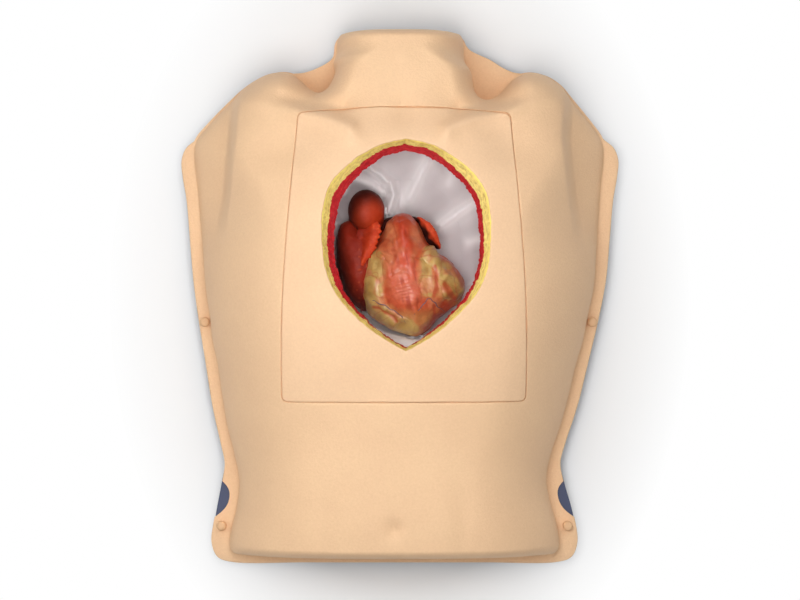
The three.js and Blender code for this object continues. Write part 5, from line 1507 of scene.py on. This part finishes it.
def under_form(form, x, y, margin):
    """Height of a chamber's underside over plan points, and its reach: under 1 where it stands."""
    centre = form["centre"]
    steps = np.linspace(-math.pi, math.pi, 361)
    hits = ray_hits(curve_through(form["outline"], 400, closed=True), steps, centre)
    reach = np.interp(np.arctan2(y - centre[1], x - centre[0]), steps,
                      np.hypot(hits[:, 0] - centre[0], hits[:, 1] - centre[1]))
    away = np.hypot(x - centre[0], y - centre[1]) / (reach + margin)
    slope = np.arcsin(np.clip(away, 0, 1) ** (1 / CHAMBER_ROUNDING))
    return form["middle"] - (form["middle"] - form["bottom"]) * np.cos(slope), away


def under_heart(x, y):
    """Height of the heart's underside over plan points, very high where the heart isn't."""
    low = np.full(x.shape, 200.0)
    for form in (VENTRICLES, RIGHT_ATRIUM, LEFT_ATRIUM):
        under, away = under_form(form, x, y, 2.5)
        low = np.where(away < 1, np.minimum(low, under), low)
    stump = np.hypot(x + 38.4, y - 33) < 21
    return np.where(stump, np.minimum(low, 11.0), low)


def cloth_rows():
    """Stations of the sheet from the tray's middle over its rim: share of the bowl, growth, height."""
    wall = curve_through(WALL_PROFILE[::-1], 60)
    stations = [(share, 1.0) for share in np.linspace(0.012, 0.61, 46)] + [tuple(p) for p in wall]
    over = TRAY_RIM_TOP + 2 * SEAT_GAP
    rows = [(share, 0.0, TRAY_RIM_TOP - TRAY_DEPTH * drop) for share, drop in stations]
    rows += [(1, grow, over + rise) for grow, rise in ((1.2, 0.6), (3, 1.0), (6, 1.0), (8.6, 0.6),
                                                       (10.2, -0.6), (11.0, -2.6))]
    return rows + [(1, 11.3 + 0.02 * d, over - d) for d in range(5, CLOTH_HEM)]


def fold_height(x, y):
    """Height of the cloth's folds over the bowl, with soft waves between them."""
    height = np.zeros(x.shape)
    for path, high, wide in FOLDS:
        height = np.maximum(height, high * np.exp(-(distance_to(path, x, y) / wide) ** FOLD_POWER))
    height += 0.9 * flat_noise(x, y, 30, 121) + 0.5 * flat_noise(x, y, 13, 122)
    return np.clip(height + 0.4, 0, None)


def cloth_sheet():
    """The sheet lies in the bowl in folds, stays under the heart and hangs over the tray's rim."""
    around = circle(480)
    rows = cloth_rows()
    grid = []
    for share, grow, z in rows:
        plan = bowl_points(around, share, grow if grow else -2 * SEAT_GAP)
        grid.append(lift(plan, z + 2 * SEAT_GAP * smooth(0.95, 0.6, share)))
    grid = np.array(grid)
    normal = outward(grid)
    normal *= np.sign(normal[0, :, 2].mean())
    x, y = grid[..., 0] - CENTRE[0], grid[..., 1] - CENTRE[1]
    height = fold_height(x, y)
    # Painted highlight: how much paler the cloth is painted, by the height of its fold
    crest_highlight = np.clip(height / 6, 0, 1)
    low = under_heart(x, y) + HEART_BASE - CLOTH_THICKNESS - 1.2
    inside = np.array([grow == 0 for _, grow, _ in rows])[:, None]
    height = np.where(inside, np.minimum(height, np.clip(low - grid[..., 2], 0, 20)), 0.35 * height)
    for _ in range(12):
        crown = grid + normal * (height + CLOTH_THICKNESS + 0.6)[..., None]
        room = under_heart(crown[..., 0] - CENTRE[0], crown[..., 1] - CENTRE[1]) + HEART_BASE - 0.8
        height = np.where(inside & (crown[..., 2] > room), 0.75 * height, height)
    lower = grid + normal * (height + CLOTH_OFF)[..., None]
    upper = grid + normal * (height + CLOTH_THICKNESS + CLOTH_OFF)[..., None]
    ends = [face[0].mean(axis=0)[None] for face in (upper, lower)]
    piece = lofted("lining_cloth_sheet", [ends[0], *upper, *lower[::-1], ends[1]])
    middle = [crest_highlight[0].mean()]
    set_field(piece, "crest_highlight", np.concatenate([middle, crest_highlight.ravel(), crest_highlight[::-1].ravel(), middle]))
    finish_piece(shade_by_angle(piece, 80), "base", "lining_cloth", LINING_CLOTH, "pericardium_cloth")


def cloth_finish():
    """Off-white cloth, with a painted highlight that makes it paler along the crests of its folds."""
    f = Finish("lining_cloth", Specular_IOR_Level=0.2, Sheen_Weight=0.25, Sheen_Roughness=0.5)
    worn = f.mix(f.noise(22, 4), srgb(198, 188, 189), srgb(209, 200, 199))
    f.color(f.mix(f.ramp(f.stored("crest_highlight"), (0.1, 0.0), (0.95, 1.0)), worn, srgb(250, 244, 243)))
    f.rough(f.noise(3, 3), 0.82, 0.92)
    return f.relief((f.noise(9, 4, 0.6), 0.5), (f.noise(0.7, 2), 0.08))


LINING_CLOTH = cloth_finish()


# Camera, light and floor
LAMP_TARGET = (0, 0, 0.1)
LAMPS = [("near", (-0.06, 0.0, 0.98), (-0.02, 0.0, 0.1), (0.45, 0.45), 4.5),
         ("left", (-1.6, 0.1, 1.1), LAMP_TARGET, (0.9, 0.9), 6.4),
         ("right", (1.6, 0.3, 1.1), LAMP_TARGET, (0.9, 0.9), 3.4),
         ("head", (0.1, 1.5, 1.5), LAMP_TARGET, (1.2, 0.7), 8.5),
         ("foot", (-0.1, -1.5, 1.5), LAMP_TARGET, (1.2, 0.7), 3.6),
         ("over", (-0.3, 0.0, 2.5), LAMP_TARGET, (0.9, 0.9), 2.6)]
WORLD_STRENGTH = 0.2
FLOOR_HALF = 6000
SHADOW_REACH = (0.3, 0.42)   # metres, of the oval inside which the floor keeps its shadow
SHADOW_FADE = (0.68, 0.98)   # shares of that reach between which the floor turns plain white


def camera():
    data = bpy.data.cameras.new("camera")
    data.sensor_width = SENSOR_WIDTH
    data.lens = SENSOR_WIDTH * VIEW_DISTANCE / VIEW_WIDTH
    data.clip_start, data.clip_end = 0.05, 50
    made = linked("camera", data)
    made.location = (0, 0, (VIEW_DISTANCE + FLANGE_TOP) * MM)
    bpy.context.scene.camera = made


def lamp(name, stand, target, size, watts):
    data = bpy.data.lights.new(name, "AREA")
    data.shape = "RECTANGLE"
    data.size, data.size_y = size
    data.energy = watts
    made = linked(name, data)
    made.location = stand
    made.rotation_euler = (Vector(target) - made.location).to_track_quat("-Z", "Y").to_euler()


def studio():
    """Six lamps, and a world that lights softly and looks white."""
    for row in LAMPS:
        lamp(*row)
    world = bpy.data.worlds.new("studio")
    bpy.context.scene.world = world
    w = Graph(world)
    soft, seen = (w.node("Background", {"Color": (1, 1, 1, 1), "Strength": strength}).outputs[0]
                  for strength in (WORLD_STRENGTH, 1.0))
    both = w.mix_shaders(w.seen_by("Camera", "Transmission"), soft, seen)
    w.put(w.tree.nodes["World Output"], "Surface", both)


def floor():
    """White floor that keeps the object's shadow and turns plain white away from it."""
    h = FLOOR_HALF
    made = make_mesh("floor", [(-h, -h, 0), (h, -h, 0), (h, h, 0), (-h, h, 0)], [[0, 1, 2, 3]])
    f = Finish("floor_white", Specular_IOR_Level=0.0, Roughness=1.0)
    f.color(srgb(246, 246, 246))
    scale = (1 / SHADOW_REACH[0], 1 / SHADOW_REACH[1], 0)
    spot = f.node("Mapping", {"Vector": f.place, "Scale": scale}).outputs["Vector"]
    away = f.node("VectorMath", {0: spot}, operation="LENGTH").outputs["Value"]
    fade = f.ramp(away, (SHADOW_FADE[0], 0.0), (SHADOW_FADE[1], 1.0))
    share = f.math("MULTIPLY", f.seen_by("Camera", "Glossy", "Transmission"), fade)
    white = f.node("Emission", {"Color": (1, 1, 1, 1), "Strength": 1.0}).outputs[0]
    f.put(f.tree.nodes["Material Output"], "Surface",
          f.mix_shaders(share, f.shader.outputs[0], white))
    made.data.materials.append(f.material)


torso_shell()
pegs()
base_board()
feet()
chest_skin()
pad_layers()
heart_tray()
tray_posts()
cloth_sheet()
heart_ventricles()
for fat_node, band, half_width, high in FAT_BANDS:
    if fat_node:
        fat_patch(fat_node, band, half_width, high)
vein("vein_tree_left", "heart_vein_left", VEINS_LEFT)
vein("vein_tree_right", "heart_vein_right", VEINS_RIGHT)
right_atrium()
left_atrium()
aorta_stump()
appendages()
camera()
studio()
floor()
bpy.context.scene.view_settings.view_transform = "Standard"
